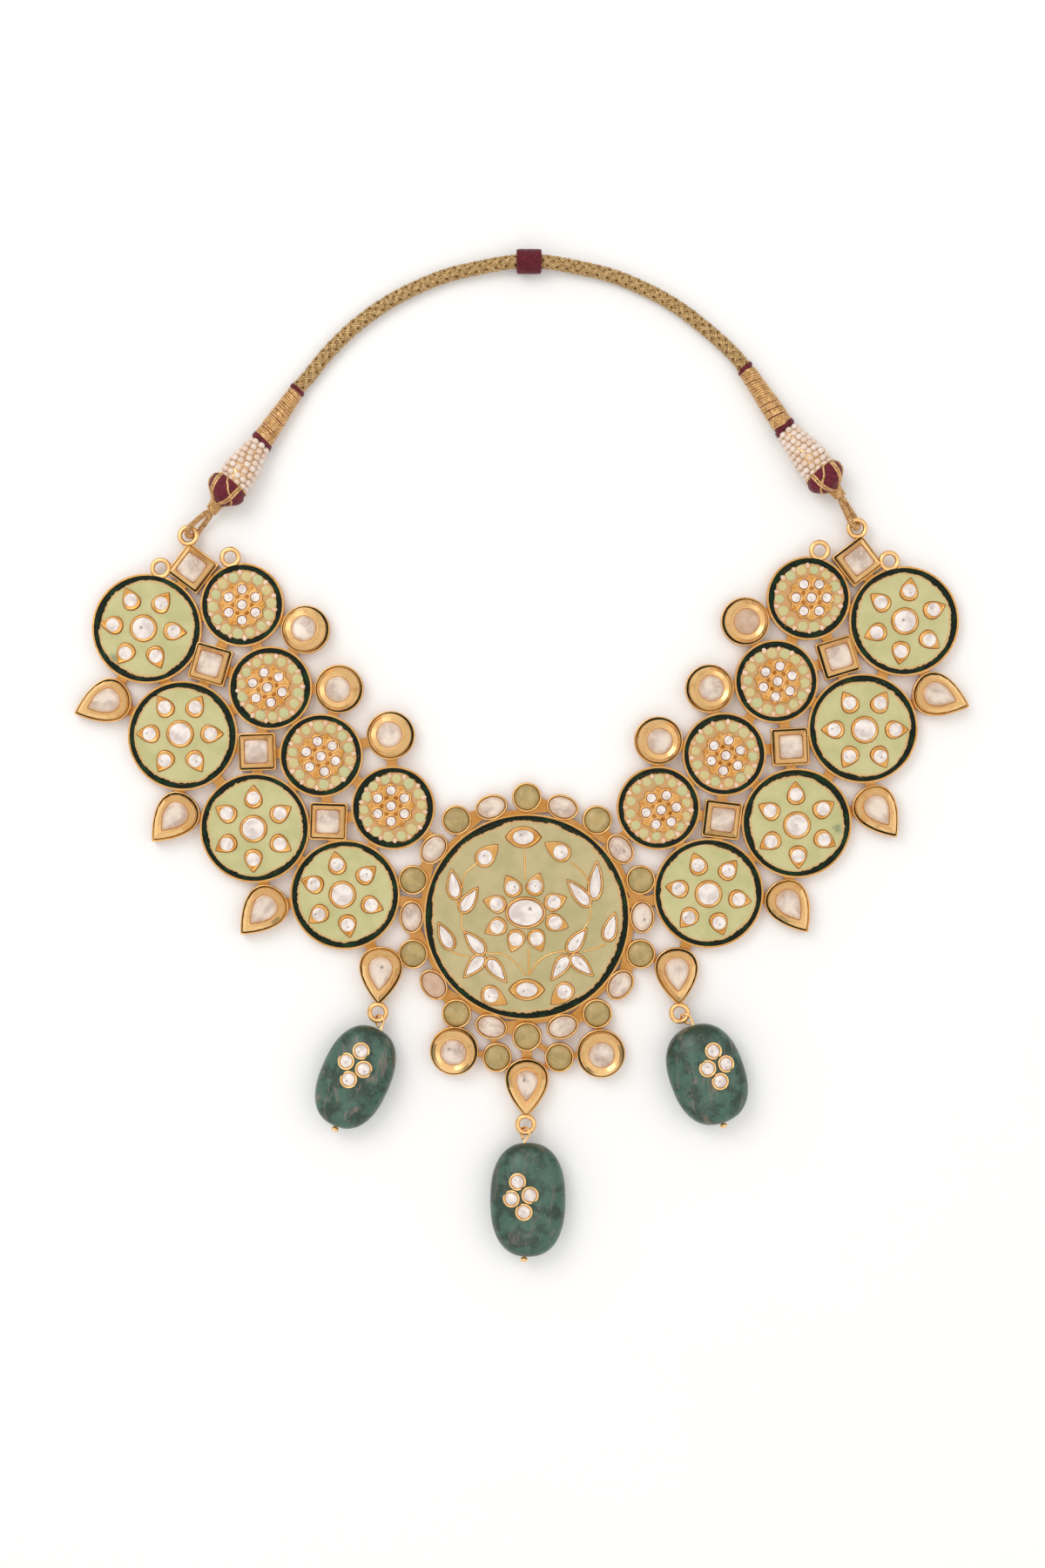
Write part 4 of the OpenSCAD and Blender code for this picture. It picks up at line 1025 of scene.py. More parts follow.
class Finishes:
    """Every finish of the necklace, made once."""

    def __init__(self) -> None:
        """Make the finishes that several pieces share."""
        self.gold = Gold().material("worked gold")
        self.wire = Gold(
            bright=(0.90, 0.56, 0.23), warm=(0.82, 0.45, 0.14), low=-2.0, high=-1.0, shine=0.22
        ).material("gold wire")
        # Darker gold of the sunk bowls and the star grains: their gold with painted shade
        self.bowl = Gold(
            bright=(0.76, 0.39, 0.10), warm=(0.57, 0.23, 0.04), low=-2.0, high=-1.0, shine=0.33
        ).material("gold bowl")
        # Dark gold of the lines of painted shadow round cells and stones
        self.shade = Gold(
            bright=(0.50, 0.19, 0.04), warm=(0.33, 0.10, 0.015), low=-2.0, high=-1.0, shine=0.4
        ).material("gold in painted shadow")
        self.stone = ClearStone().material("uncut diamond")
        self.foiled = ClearStone(
            light=(0.78, 0.65, 0.54),
            rose=(0.47, 0.34, 0.27),
            # Brown of the shadow painted at each high stone's edge
            rim=(0.36, 0.17, 0.06),
            band=0.55,
            amber=(64.0, 107.0),
        ).material("foiled diamond")
        self.line = Line().material("dark enamel line")
        self.olive = SatinStone(
            (0.45, 0.31, 0.11), (0.34, 0.24, 0.08), (0.58, 0.48, 0.25), 3.4, 0.32, 0.35
        ).material("olive cabochon")
        self.pearl = Pearl().material("seed pearl")
        self.maroon = Thread((0.19, 0.017, 0.033), (0.09, 0.007, 0.013), 0.5, 0.0).material(
            "maroon thread"
        )
        self.zari = Thread(
            (0.72, 0.50, 0.24), (0.34, 0.20, 0.07), 0.36, 0.7, 0.3, 0.6
        ).material("plaited gold thread")
        self.wound = Thread(
            (0.90, 0.60, 0.30), (0.50, 0.27, 0.09), 0.32, 0.85, 0.5, 0.3
        ).material("wound gold thread")


# The collar's tables, as the solids have them


class Side(Enum):
    """Which wing a piece belongs to."""

    LEFT = "left"
    RIGHT = "right"


class Drop(IntEnum):
    """Which bead a piece belongs to, in the order of the tables."""

    LEFT = 0
    RIGHT = 1
    CENTRE = 2


@dataclass(frozen=True)
class Pair:
    """A large and a small disc, and how they are turned."""

    large_dir: float
    large_gap: float
    small_dir: float
    small_gap: float
    turn: float
    star_turn: float
    star_shift: tuple[float, float]
    large_shift: tuple[float, float]


@dataclass(frozen=True)
class High:
    """A square, round and pear setting between two pairs of discs."""

    square_turn: float
    round_gap: float
    lean_dir: float
    lean: float
    pear_gap: float
    pear_turn: float


@dataclass(frozen=True)
class Wing:
    """One wing of the collar, with the places of its discs and settings."""

    side: Side
    pairs: tuple[Pair, ...]
    highs: tuple[High, ...]
    end_turn: float
    ring_dir: float
    large_r: float = 12.6
    small_r: float = 9.6
    round_r: float = 5.5
    pear_w: float = 9.9
    square_w: float = 8.4
    solder: float = 0.6

    @property
    def hand(self) -> int:
        """1 on the left and -1 on the right."""
        return 1 if self.side is Side.LEFT else -1

    def large(self, i: int) -> Vector:
        """Middle of a large disc.

        Args:
            i: Number of its pair, from the medallion outwards.

        Returns:
            The point.
        """
        row = self.pairs[i]
        if i == 0:
            return flat(MEDALLION_R + OVAL_W + self.large_r, row.large_dir)
        step = 2 * self.large_r + self.solder * row.large_gap
        return self.large(i - 1) + flat(step, row.large_dir)

    def small(self, i: int) -> Vector:
        """Middle of a small disc."""
        step = self.large_r + self.small_r + self.solder * self.pairs[i].small_gap
        return self.large(i) + flat(step, self.pairs[i].small_dir)

    def square(self, i: int) -> Vector:
        """Middle of a square setting."""
        return (self.large(i) + self.large(i + 1) + self.small(i) + self.small(i + 1)) / 4

    def nested(self, p: Vector, q: Vector, from_p: float, from_q: float) -> Vector:
        """Point at two distances from two pieces, mirrored on the right wing."""
        return nest(p, q, from_p, from_q) if self.hand > 0 else nest(q, p, from_q, from_p)

    def end_square(self) -> Vector:
        """Middle of the square setting at the neck's end.

        Returns:
            The point.
        """
        from_large = self.large_r + self.square_w / 2 + self.solder
        from_small = self.small_r + self.square_w / 2 + self.solder / 2
        return self.nested(self.large(3), self.small(3), from_large, from_small)

    def round(self, i: int) -> Vector:
        """Middle of a round setting."""
        gap = self.small_r + self.round_r + self.solder * self.highs[i].round_gap
        return self.nested(self.small(i + 1), self.small(i), gap, gap)

    def pear(self, i: int) -> Vector:
        """Middle of a pear setting's round end."""
        gap = self.large_r + self.pear_w / 2 + self.solder * self.highs[i].pear_gap
        return self.nested(self.large(i), self.large(i + 1), gap, gap)

    def pear_dir(self, i: int) -> float:
        """Direction of a pear setting's tip."""
        way = self.large(i + 1) - self.large(i)
        return direction(way) + self.hand * 90 + self.highs[i].pear_turn


LEFT = Wing(
    Side.LEFT,
    (
        Pair(173, 0, 61, 1, -20, 30, (-0.4, 0.4), (-0.2, 0)),
        Pair(143.5, 1, 47.5, 0.6, 30, 43, (0, -0.2), (-0.1, -0.07)),
        Pair(128, 2.8, 28.5, 1.2, 0, 43, (-0.6, 0.1), (-0.2, 0.13)),
        Pair(108.5, 1.2, 14, 0.6, -6, 30, (0, 0), (-0.27, 0.03)),
    ),
    (
        High(-2, 2.6, 150, 7, 1.4, -6),
        High(2, 1.2, 220, 6, 0.9, 10),
        High(-16, 0.9, 150, 8, 1.9, 2),
    ),
    53,
    98,
)
RIGHT = Wing(
    Side.RIGHT,
    (
        Pair(7.5, 0, 120.5, 0.8, -10, 10, (0.6, -0.4), (0, -0.07)),
        Pair(38.5, 1.1, 136.5, 1.2, 32, 20, (0.35, -0.25), (0.03, -0.17)),
        Pair(55, 2.2, 151.5, 0.7, 0, 22, (0.3, 0), (0.15, -0.1)),
        Pair(69, 2, 166.5, 0.6, 22, 0, (0.6, 0.1), (0.08, 0)),
    ),
    (
        High(-7, 0.6, -40, 7, 1, -5),
        High(3, 0.6, 0, 7, 1.3, -19),
        High(17, 0.7, -40, 7, 1.1, 2),
    ),
    37,
    91,
)


@dataclass(frozen=True)
class Halo:
    """The ring of stones round the medallion, and the low settings under it."""

    gap: float = 0.4
    cabochon_d: float = 6.8
    oval_l: float = 7.6
    oval_lap: float = 0.1
    step: float = 36
    # Distance past the ring in cabochons, direction, then a lean's direction and angle
    lower_cabochons: tuple[tuple[float, float], ...] = ((0.81, -102), (0.83, -77))
    lower_rounds: tuple[tuple[float, float, float, float], ...] = (
        (1.1, -118.5, 225, 6),
        (1.2, -61.5, -50, 5),
    )
    # Gap in solder widths, direction, and direction of the tip
    drop_pears: tuple[tuple[float, float, float], ...] = (
        (2.2, -64, -94),
        (2.4, -112.8, -86),
        (2.8, -90, -91.5),
    )

    @property
    def ring(self) -> float:
        """Radius of the ring of cabochons."""
        return MEDALLION_R + self.gap + self.cabochon_d / 2

    def cabochons(self) -> list[Vector]:
        """Middles of the cabochons.

        Returns:
            The points, the ring's ten and then the two under it.
        """
        ring = [flat(self.ring, 90 + self.step * k) for k in range(10)]
        low = [flat(self.ring + self.cabochon_d * d, a) for d, a in self.lower_cabochons]
        return ring + low

    def ovals(self) -> list[tuple[Vector, float]]:
        """Middles and directions of the ovals."""
        out = MEDALLION_R + OVAL_W / 2 - self.oval_lap
        return [(flat(out, 72 + self.step * k), 72 + self.step * k) for k in range(10)]

    def lower_round(self, k: int) -> Vector:
        """Middle of a round setting under the halo."""
        d, a, _, _ = self.lower_rounds[k]
        return flat(self.ring + self.cabochon_d * d, a)

    def drop_pear(self, drop: Drop) -> Vector:
        """Middle of the round end of a pear setting that carries a bead.

        Args:
            drop: Which bead.

        Returns:
            The point.
        """
        gap, a, _ = self.drop_pears[drop]
        if drop is Drop.CENTRE:
            return flat(self.ring + (self.cabochon_d + LEFT.pear_w) / 2 + LEFT.solder * gap, a)
        wing = LEFT if drop is Drop.LEFT else RIGHT
        return wing.large(0) + flat(wing.large_r + wing.pear_w / 2 + wing.solder * gap, a)

    def drop_ring(self, drop: Drop) -> Vector:
        """Middle of the ring that a bead hangs in."""
        reach = PEAR_LENGTH - LEFT.pear_w / 2 + RING_R - RING_WIRE_R / 2
        return self.drop_pear(drop) + flat(reach, self.drop_pears[drop][2])


HALO = Halo()


# Studio


@dataclass
class Studio:
    """Camera, floor and soft lights."""

    camera_x: float = -1.0
    camera_y: float = 30.55
    camera_z: float = 600.0
    frame_h: float = 360.0
    frame_z: float = 3.0
    sensor: float = 36.0
    floor_w: float = 3000.0
    floor_z: float = -0.02
    sky: float = 0.84
    sky_low: float = 0.62
    sky_high: float = 1.12
    sky_colour: Colour = (1.0, 0.985, 0.96)

    def build(self) -> None:
        """Set up the whole studio."""
        self.build_camera()
        self.build_floor()
        self.build_lights()
        self.build_sky()

    def build_camera(self) -> None:
        """Look straight down on the necklace, with the photograph's frame."""
        lens = bpy.data.cameras.new("camera")
        lens.sensor_fit = "AUTO"
        lens.sensor_width = self.sensor
        lens.lens = self.sensor * (self.camera_z - self.frame_z) / self.frame_h
        lens.clip_start, lens.clip_end = 0.01, 20.0
        camera = bpy.data.objects.new("camera", lens)
        camera.location = MM * Vector((self.camera_x, self.camera_y, self.camera_z))
        bpy.context.scene.collection.objects.link(camera)
        bpy.context.scene.camera = camera
        bpy.context.scene.view_settings.view_transform = "Standard"

    def build_floor(self) -> None:
        """Lay a pale sheet just under the necklace."""
        half = MM * self.floor_w / 2
        mesh = bpy.data.meshes.new("floor")
        z = MM * self.floor_z
        corners = [(-half, -half, z), (half, -half, z), (half, half, z), (-half, half, z)]
        mesh.from_pydata(corners, [], [(0, 1, 2, 3)])
        mesh.materials.append(Paper().material("pale paper"))
        floor = bpy.data.objects.new("floor", mesh)
        bpy.context.scene.collection.objects.link(floor)

    def build_lights(self) -> None:
        """Hang a large soft light on the upper left and weaker ones round it."""
        rows = (
            ("key", (-330.0, 380.0, 620.0), 420.0, 1.5),
            ("fill", (420.0, 60.0, 520.0), 380.0, 0.35),
            ("low", (-60.0, -420.0, 480.0), 360.0, 0.3),
        )
        target = Vector((0.0, 30.0, 0.0))
        for name, place, size, power in rows:
            lamp = bpy.data.lights.new(name, "AREA")
            lamp.shape = "SQUARE"
            lamp.size = MM * size
            lamp.energy = power
            light = bpy.data.objects.new(name, lamp)
            light.location = MM * Vector(place)
            aim = Vector(place) - target
            light.rotation_euler = aim.to_track_quat("Z", "Y").to_euler()
            bpy.context.scene.collection.objects.link(light)

    def build_sky(self) -> None:
        """Light the studio evenly, brighter from above."""
        world = bpy.data.worlds.new("studio")
        bpy.context.scene.world = world
        world.use_nodes = True
        sky = Nodes(world.node_tree)
        split = sky.node("SeparateXYZ", sky.node("TexCoord").outputs["Generated"])
        level = sky.step(split.outputs["Z"], -0.1, 0.9, self.sky_low, self.sky_high)
        light = world.node_tree.nodes["Background"]
        light.inputs["Color"].default_value = (*self.sky_colour, 1.0)
        sky.feed(light.inputs["Strength"], sky.times(level, self.sky))


# Cord


# Place and radius at each station of a dressed end, from the collar's ring upwards
LEFT_STATIONS: tuple[Row, ...] = (
    (-72.4, 93.3, 3.2, 1.4), (-70.8, 95.3, 3.9, 1.9), (-69.4, 97, 4.6, 4.3),
    (-68.4, 98.3, 4.8, 4.7), (-67.6, 99.3, 4.5, 4.1), (-65.6, 102.3, 4.3, 4.2),
    (-63.3, 105.8, 3.6, 3.5), (-61.2, 108.8, 2.9, 2.75), (-60.6, 109.7, 2.8, 2.6),
    (-57, 115, 2.4, 2.3), (-52.6, 121.5, 1.95, 1.85),
)
RIGHT_STATIONS: tuple[Row, ...] = (
    (71.9, 96.6, 3.2, 1.4), (70.4, 98.4, 3.9, 1.9), (69, 99.9, 4.6, 4.3),
    (68, 101.1, 4.8, 4.7), (67.2, 102.1, 4.5, 4.1), (64.8, 105.1, 4.3, 4.2),
    (62.2, 108.5, 3.6, 3.5), (59.6, 111.9, 2.9, 2.75), (58.9, 112.9, 2.8, 2.6),
    (54.8, 119.2, 2.5, 2.4), (50, 126.4, 2.05, 1.95),
)
# Places of the bare cord between the two ends
CORD_ROUTE: tuple[Row, ...] = (
    (-50, 124.5, 1.75), (-46, 129.5, 1.75), (-40.5, 135, 1.75), (-34, 140, 1.75),
    (-27, 144, 1.75), (-18.5, 147.5, 1.8), (-9.5, 149.5, 2.4), (-3.5, 150.4, 3),
    (0.5, 150.5, 3), (4.5, 150.4, 3), (10.5, 149.5, 2.4), (19.5, 147.5, 1.8),
    (28, 144, 1.75), (35, 140, 1.75), (41.5, 135, 1.75), (46.5, 130.5, 1.8),
)
# Threads over a knot cap: share of its length and angle at the start and at the stop, gap of twins
CAP_THREADS: tuple[Row, ...] = (
    (0.30, 112, 1.00, 128, 8.0),
    (0.26, 66, 0.98, 48, 9.0),
    (0.42, 165, 0.92, 70, 0.0),
    (0.36, 24, 0.95, 4, 8.0),
    (0.30, 205, 1.00, 222, 8.0),
    (0.30, 265, 1.00, 245, 8.0),
    (0.40, 290, 0.95, 350, 0.0),
    (0.34, 325, 1.00, 310, 8.0),
)


def thread_ring(
    middle: Vector, radius: float, out: Vector, along: Vector, sides: int
) -> list[Vector]:
    """Points round a thread that crosses a way, where it crosses."""
    turns = [FULL_TURN * j / sides for j in range(sides)]
    return [middle + radius * (math.cos(b) * out - math.sin(b) * along) for b in turns]


def wind(
    work: Work,
    way: Route,
    start: float,
    end: float,
    pitch: float,
    wire: float,
    lift: Callable[[float], float],
    rng: random.Random,
    kind: int = 0,
    slant: float = 0.0,
    per_turn: int = 20,
    wobble: float = 0.06,
) -> None:
    """Wind a thread tightly round a stretch of a way.

    Args:
        work: Piece that it is added to.
        way: What it is wound on.
        start: Where the winding starts.
        end: Where it ends.
        pitch: Advance of one turn.
        wire: Radius of the thread.
        lift: Distance of the thread's outside from the way's middle, at a distance along it.
        rng: Source of the unevenness.
        kind: Number of its finish.
        slant: How far a turn leans along the way, in millimetres from side to side.
        per_turn: Points in a turn.
        wobble: Unevenness of the turns in millimetres.
    """
    sides = 6
    turns = (end - start) / pitch
    count = math.ceil(turns * per_turn)
    rings, marks = [], []
    bias = [rng.uniform(-wobble, wobble) for _ in range(math.ceil(turns) + 2)]
    for i in range(count + 1):
        turn = i / per_turn
        whole, share = int(turn), turn - int(turn)
        uneven = bias[whole] + (bias[whole + 1] - bias[whole]) * share
        angle = 360 * turn
        lean = slant * math.cos(math.radians(angle))
        s = min(max(start + pitch * turn + lean + uneven, start - 0.3), end + 0.3)
        place, along, side, up, _ = way.at(s)
        a = math.radians(angle)
        out = math.cos(a) * side + math.sin(a) * up
        middle = place + (lift(s) - wire + 0.4 * uneven) * out
        rings.append(thread_ring(middle, wire, out, along, sides))
        run = turn * FULL_TURN * lift(s)
        marks.append([(run, j / sides, 0.0) for j in range(sides)])
    work.skin(rings, kind, marks)


@dataclass
class CordEnd:
    """The finery at one end of the cord: loop, bound knot cap, pearls and wound sleeve."""

    side: Side
    stations: tuple[Row, ...]
    finishes: Finishes
    strand_r: float = 0.75
    cord_gap: float = 0.1
    loop_tilt: float = 30.0
    loop_core_r: float = 0.42
    loop_wire_r: float = 0.18
    loop_step: float = 0.03
    loop_turn_steps: int = 15
    cap_end: int = 4
    cap_sink: float = 0.2
    cap_ribs: int = 26
    cap_rib: float = 0.045
    cap_thread_r: float = 0.27
    pearl_end: int = 7
    pearl_r: float = 0.83
    pearl_core_depth: float = 0.95
    pearl_row_lap: float = 0.86
    pearl_lap: float = 0.99
    wound_pitch: float = 0.56
    wound_wire_r: float = 0.31
    wound_wobble: float = 0.15
    band_pitch: float = 0.24
    band_wire_r: float = 0.22
    pieces: list[bpy.types.Object] = field(default_factory=list)

    def __post_init__(self) -> None:
        """Work out the way through the stations."""
        self.way = Route(self.stations)
        self.hand = 1 if self.side is Side.LEFT else -1
        self.rng = random.Random(11 if self.side is Side.LEFT else 12)

    def run_to(self, i: int) -> float:
        """Distance along the way to a station."""
        gaps = [(p - Vector(self.stations[i][:3])).length for p in self.way.points]
        return self.way.lengths[gaps.index(min(gaps))]

    def build(self, ring: Vector) -> None:
        """Build every piece of this end, whose loop hangs in a ring with that middle."""
        self.pieces = [self.loop(ring), self.knot_cap(), self.pearls(), self.wound_sleeve()]

    def loop(self, ring: Vector) -> bpy.types.Object:
        """Loop of cord covered with fine gold winding, through the collar's ring.

        Args:
            ring: Middle of that ring.

        Returns:
            The piece.
        """
        root = Vector((ring.x, ring.y, RING_Z))
        foot = Vector(self.stations[0][:3])
        way = (foot - root).normalized()
        side = UP.cross(way).normalized()
        lift = way.cross(side)
        tilt = math.radians(self.loop_tilt)
        across = math.cos(tilt) * lift + math.sin(tilt) * side
        spare = RING_R - RING_WIRE_R - self.strand_r
        near_r = RING_WIRE_R + self.strand_r + 0.8 * spare
        far_r = 0.6 * near_r
        far = (foot - root).length - self.cord_gap - self.strand_r - far_r
        count = 20
        path = []
        for middle_x, radius, first in ((RING_R, near_r, 90), (far, far_r, -90)):
            for k in range(count + 1):
                a = math.radians(first + 180 * k / count)
                x, y = middle_x + radius * math.cos(a), radius * math.sin(a)
                path.append(root + x * way + y * across)
        path = self.spaced(path, self.loop_step)
        work = Work()
        work.tube(path, self.loop_core_r, 10, 0, closed=True)
        normal = way.cross(across)
        n = len(path)
        turns = round(n / self.loop_turn_steps)
        rings = []
        for i, p in enumerate(path):
            along = (path[(i + 1) % n] - path[i - 1]).normalized()
            a = FULL_TURN * turns * i / n
            out = math.cos(a) * normal.cross(along).normalized() + math.sin(a) * normal
            middle = p + (self.strand_r - self.loop_wire_r) * out
            rings.append(thread_ring(middle, self.loop_wire_r, out, along, 5))
        work.skin(rings, 1, closed=True)
        piece = work.piece(
            f"{self.side.value}_wound_loop", [self.finishes.zari, self.finishes.wound]
        )
        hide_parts(f"{self.side.value}_cord_loop")
        return piece

    @staticmethod
    def spaced(path: Sequence[Vector], gap: float) -> list[Vector]:
        """The same closed path with even steps.

        Args:
            path: Points of it.
            gap: Wanted step.

        Returns:
            The new points.
        """
        closed = [*path, path[0]]
        lengths = [0.0]
        for p, q in zip(closed, closed[1:]):
            lengths.append(lengths[-1] + (q - p).length)
        count = round(lengths[-1] / gap)
        even = []
        for k in range(count):
            s = lengths[-1] * k / count
            i = min(bisect.bisect_right(lengths, s) - 1, len(path) - 1)
            span = lengths[i + 1] - lengths[i]
            even.append(closed[i].lerp(closed[i + 1], (s - lengths[i]) / span if span else 0.0))
        return even

    def knot_cap(self) -> bpy.types.Object:
        """Bell of maroon thread with crossing gold threads, and its wound neck.

        Returns:
            The piece.
        """
        way, end = self.way, self.run_to(self.cap_end)
        work = Work()
        sides = 96

        def bell(s: float, degrees: float) -> float:
            """Radius of the bell, with ribs of thread that lean along it."""
            r, rib = way.at(s)[4] - self.cap_sink, math.radians(self.cap_ribs * degrees)
            return r + self.cap_rib * math.cos(rib + 1.4 * s) * min(1.0, r / 3)

        neck = self.run_to(1) * 0.9
        rings = way.skin_of(neck, end, 0.22, sides, bell)
        closing = way.skin_of(end, end + 0.25, 0.25, sides, lambda s, a: 0.6 * way.at(end)[4])
        rings.append(closing[-1])
        shares = [self.cap_ribs * j / sides for j in range(sides)]
        marks = [[(0.3 * k, share, 0.0) for share in shares] for k in range(len(rings))]
        work.skin(rings, 0, marks)
        wind(
            work, way, 0.0, neck + 0.35, 0.42, 0.24,
            lambda s: way.at(max(s, 0.0))[4] + 0.04, self.rng, 1, slant=0.35,
        )
        for start, first, stop, last, apart in CAP_THREADS:
            for offset in (-apart / 2, apart / 2) if apart else (0.0,):
                path = []
                for k in range(25):
                    t = k / 24
                    s = end * (start + (stop - start) * t)
                    bow = 0.0 if apart else 12 * math.sin(math.pi * t)
                    angle = 90 + self.hand * (first + (last - first) * t + bow + offset - 90)
                    path.append(way.round(s, angle, way.at(s)[4] - self.cap_sink))
                work.tube(path, self.cap_thread_r, 8, 1)
        lip = [way.round(end - 0.15, 6 * k, way.at(end)[4] - 0.05) for k in range(60)]
        work.tube(lip, 0.2, 6, 1, closed=True)
        piece = work.piece(
            f"{self.side.value}_bound_cap", [self.finishes.maroon, self.finishes.wound]
        )
        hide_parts(f"{self.side.value}_knot_cap")
        return piece

    def pearls(self) -> bpy.types.Object:
        """Rows of seed pearls netted round the cord.

        Returns:
            The piece.
        """
        way = self.way
        start, end = self.run_to(self.cap_end) - 0.2, self.run_to(self.pearl_end)
        work = Work()
        core = way.skin_of(
            start, end, 0.5, 24, lambda s, a: way.at(s)[4] - self.pearl_core_depth
        )
        work.skin(core, 1)
        row_gap = 2 * self.pearl_r * self.pearl_row_lap
        rows = max(2, round((end - start - 2 * self.pearl_r) / row_gap) + 1)
        for row in range(rows):
            s = start + self.pearl_r + (end - start - 2 * self.pearl_r) * row / (rows - 1)
            place, along, side, lift, radius = way.at(s)
            out = radius - self.pearl_r + 0.02
            count = max(5, round(FULL_TURN * out / (2 * self.pearl_r * self.pearl_lap)))
            for k in range(count):
                a = FULL_TURN * (k + row % 2 / 2) / count + self.rng.uniform(-0.04, 0.04)
                normal = math.cos(a) * side + math.sin(a) * lift
                across = along.cross(normal)
                size = self.pearl_r * self.rng.uniform(0.93, 1.0)
                middle = place + out * normal + self.rng.uniform(-0.07, 0.07) * along
                axes = (size * normal, size * 0.97 * across, size * 0.9 * along)
                work.ball(middle, axes, 14, 9, 0, self.rng.random(), 2.35)
        piece = work.piece(
            f"{self.side.value}_seed_pearls", [self.finishes.pearl, self.finishes.wound]
        )
        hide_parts(f"{self.side.value}_pearl_sleeve")
        return piece

    def wound_sleeve(self) -> bpy.types.Object:
        """Sleeve of gold thread wound over the cord, between two maroon bands.

        Returns:
            The piece.
        """
        way = self.way
        start, end = self.run_to(self.pearl_end) + 0.1, way.length
        work = Work()
        work.skin(way.skin_of(start, end, 0.5, 20, lambda s, a: way.at(s)[4] - 0.3), 1)

        def lift(s: float) -> float:
            """Outside of the winding."""
            return way.at(s)[4] - 0.04

        wind(
            work, way, start + 1.0, end - 0.6, self.wound_pitch, self.wound_wire_r,
            lift, self.rng, slant=0.5, per_turn=22, wobble=self.wound_wobble,
        )
        for first, last, slant in ((start + 0.1, start + 1.0, 0.45), (end - 0.75, end - 0.1, 0.3)):
            wind(
                work, way, first, last, self.band_pitch, self.band_wire_r,
                lambda s: way.at(s)[4] + 0.07, self.rng, 1,
                slant=self.hand * slant, per_turn=28, wobble=0.04,
            )
        piece = work.piece(
            f"{self.side.value}_wound_gold", [self.finishes.wound, self.finishes.maroon]
        )
        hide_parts(f"{self.side.value}_wound_sleeve")
        return piece


@dataclass
class NeckCord:
    """Plaited cord of gold thread that closes the necklace, and its slide."""

    finishes: Finishes
    diameter: float = 3.5
    carriers: int = 4
    pitch: float = 9.5
    thread_r: float = 0.3
    core_r: float = 1.05
    middle_r: float = 1.28
    weave: float = 0.15
    twin_angle: float = 12.5
    neck_share: float = 0.62
    taper: float = 5.0
    slide_at: tuple[float, float, float] = (0.5, 150.5, 3.0)
    slide_l: float = 6.0
    slide_r: float = 2.9
    slide_bore_r: float = 1.82
    slide_round: float = 0.7
    slide_round_in: float = 0.6

    def rows(self) -> list[Row]:
        """Stations of the whole cord from the left ring to the right one.

        Returns:
            The stations.
        """
        left = list(LEFT_STATIONS)
        middle = [(*row, self.diameter / 2) for row in CORD_ROUTE]
        right = list(reversed(RIGHT_STATIONS))
        return [*left, *middle, *right]

    def build(self, ends: Sequence[CordEnd]) -> None:
        """Args:
            ends: Its two dressed ends; not used.
        """
        way = Route(self.rows(), 0.5)
        work = Work()

        def swell(s: float) -> float:
            """Share of the full thickness, less inside the two necks."""
            near = min(s, way.length - s) / self.taper
            return min(1.0, self.neck_share + (1 - self.neck_share) * near)

        step = 0.5
        count = math.ceil(way.length / step)
        runs = [way.length * k / count for k in range(count + 1)]
        swells = [swell(s) for s in runs]
        core = [way.at(s)[0] for s in runs]
        work.tube(core, [self.core_r * share for share in swells], 10, 0)
        for hand in (1, -1):
            for carrier in range(self.carriers):
                for twin in (-1, 1):
                    path = []
                    for s, share in zip(runs, swells):
                        turn = 360 * s / self.pitch
                        first = 360 * carrier / self.carriers + twin * self.twin_angle
                        over = hand * math.cos(math.radians(self.carriers * turn))
                        out = (self.middle_r + self.weave * over) * share
                        path.append(way.round(s, hand * turn + first, out))
                    sizes = [self.thread_r * share for share in swells]
                    work.tube(path, sizes, 5, 0, mark=carrier + 0.1 * twin)
        cord = work.piece("plaited_neck_cord", [self.finishes.zari])
        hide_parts("neck_cord")
        slide = self.slide()
        path = [tuple(MM * way.at(way.length * k / 60)[0]) for k in range(61)]

    def slide(self) -> bpy.types.Object:
        """Plain sleeve bound with maroon thread, which closes the cord.

        Returns:
            The piece.
        """
        half = self.slide_l / 2
        x, y, z = self.slide_at
        way = Route([(x + shift, y, z, self.slide_r) for shift in (-half, 0.0, half)], 0.2)

        def barrel(s: float) -> float:
            """Outside of the sleeve: straight, with rounded ends."""
            near = 1 - min(s, way.length - s, self.slide_round) / self.slide_round
            return self.slide_r - self.slide_round_in * (1 - math.sqrt(max(0.0, 1 - near**2)))

        work = Work()
        edge = 0.15
        outer = way.skin_of(edge, way.length - edge, 0.3, 32, lambda s, a: barrel(s) - 0.25)
        inner = way.skin_of(edge, way.length - edge, 6.0, 32, lambda s, a: self.slide_bore_r)
        work.skin([*outer, *reversed(inner)], 0, closed=True)
        wind(
            work, way, 0.25, way.length - 0.25, 0.36, 0.2,
            lambda s: barrel(s) - 0.02, random.Random(5), per_turn=30, wobble=0.03,
        )
        piece = work.piece("bound_slide", [self.finishes.maroon])
        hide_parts("cord_slide")
        return piece


# Stones


def seat(place: Vector, z: float, turn: float, lean_dir: float = 0.0, lean: float = 0.0) -> Matrix:
    """Frame of a stone's seat.

    Args:
        place: Middle of the seat in the plane.
        z: Its height.
        turn: Turn of the stone.
        lean_dir: Direction in which its setting leans.
        lean: Angle of the lean.

    Returns:
        The frame.
    """
    base = 3.2
    axis = flat(1.0, lean_dir + 90)
    leaning = (
        Matrix.Translation((0, 0, base))
        @ Matrix.Rotation(math.radians(lean), 4, axis)
        @ Matrix.Translation((0, 0, z - base))
    )
    return Matrix.Translation(place) @ leaning @ Matrix.Rotation(math.radians(turn), 4, UP)


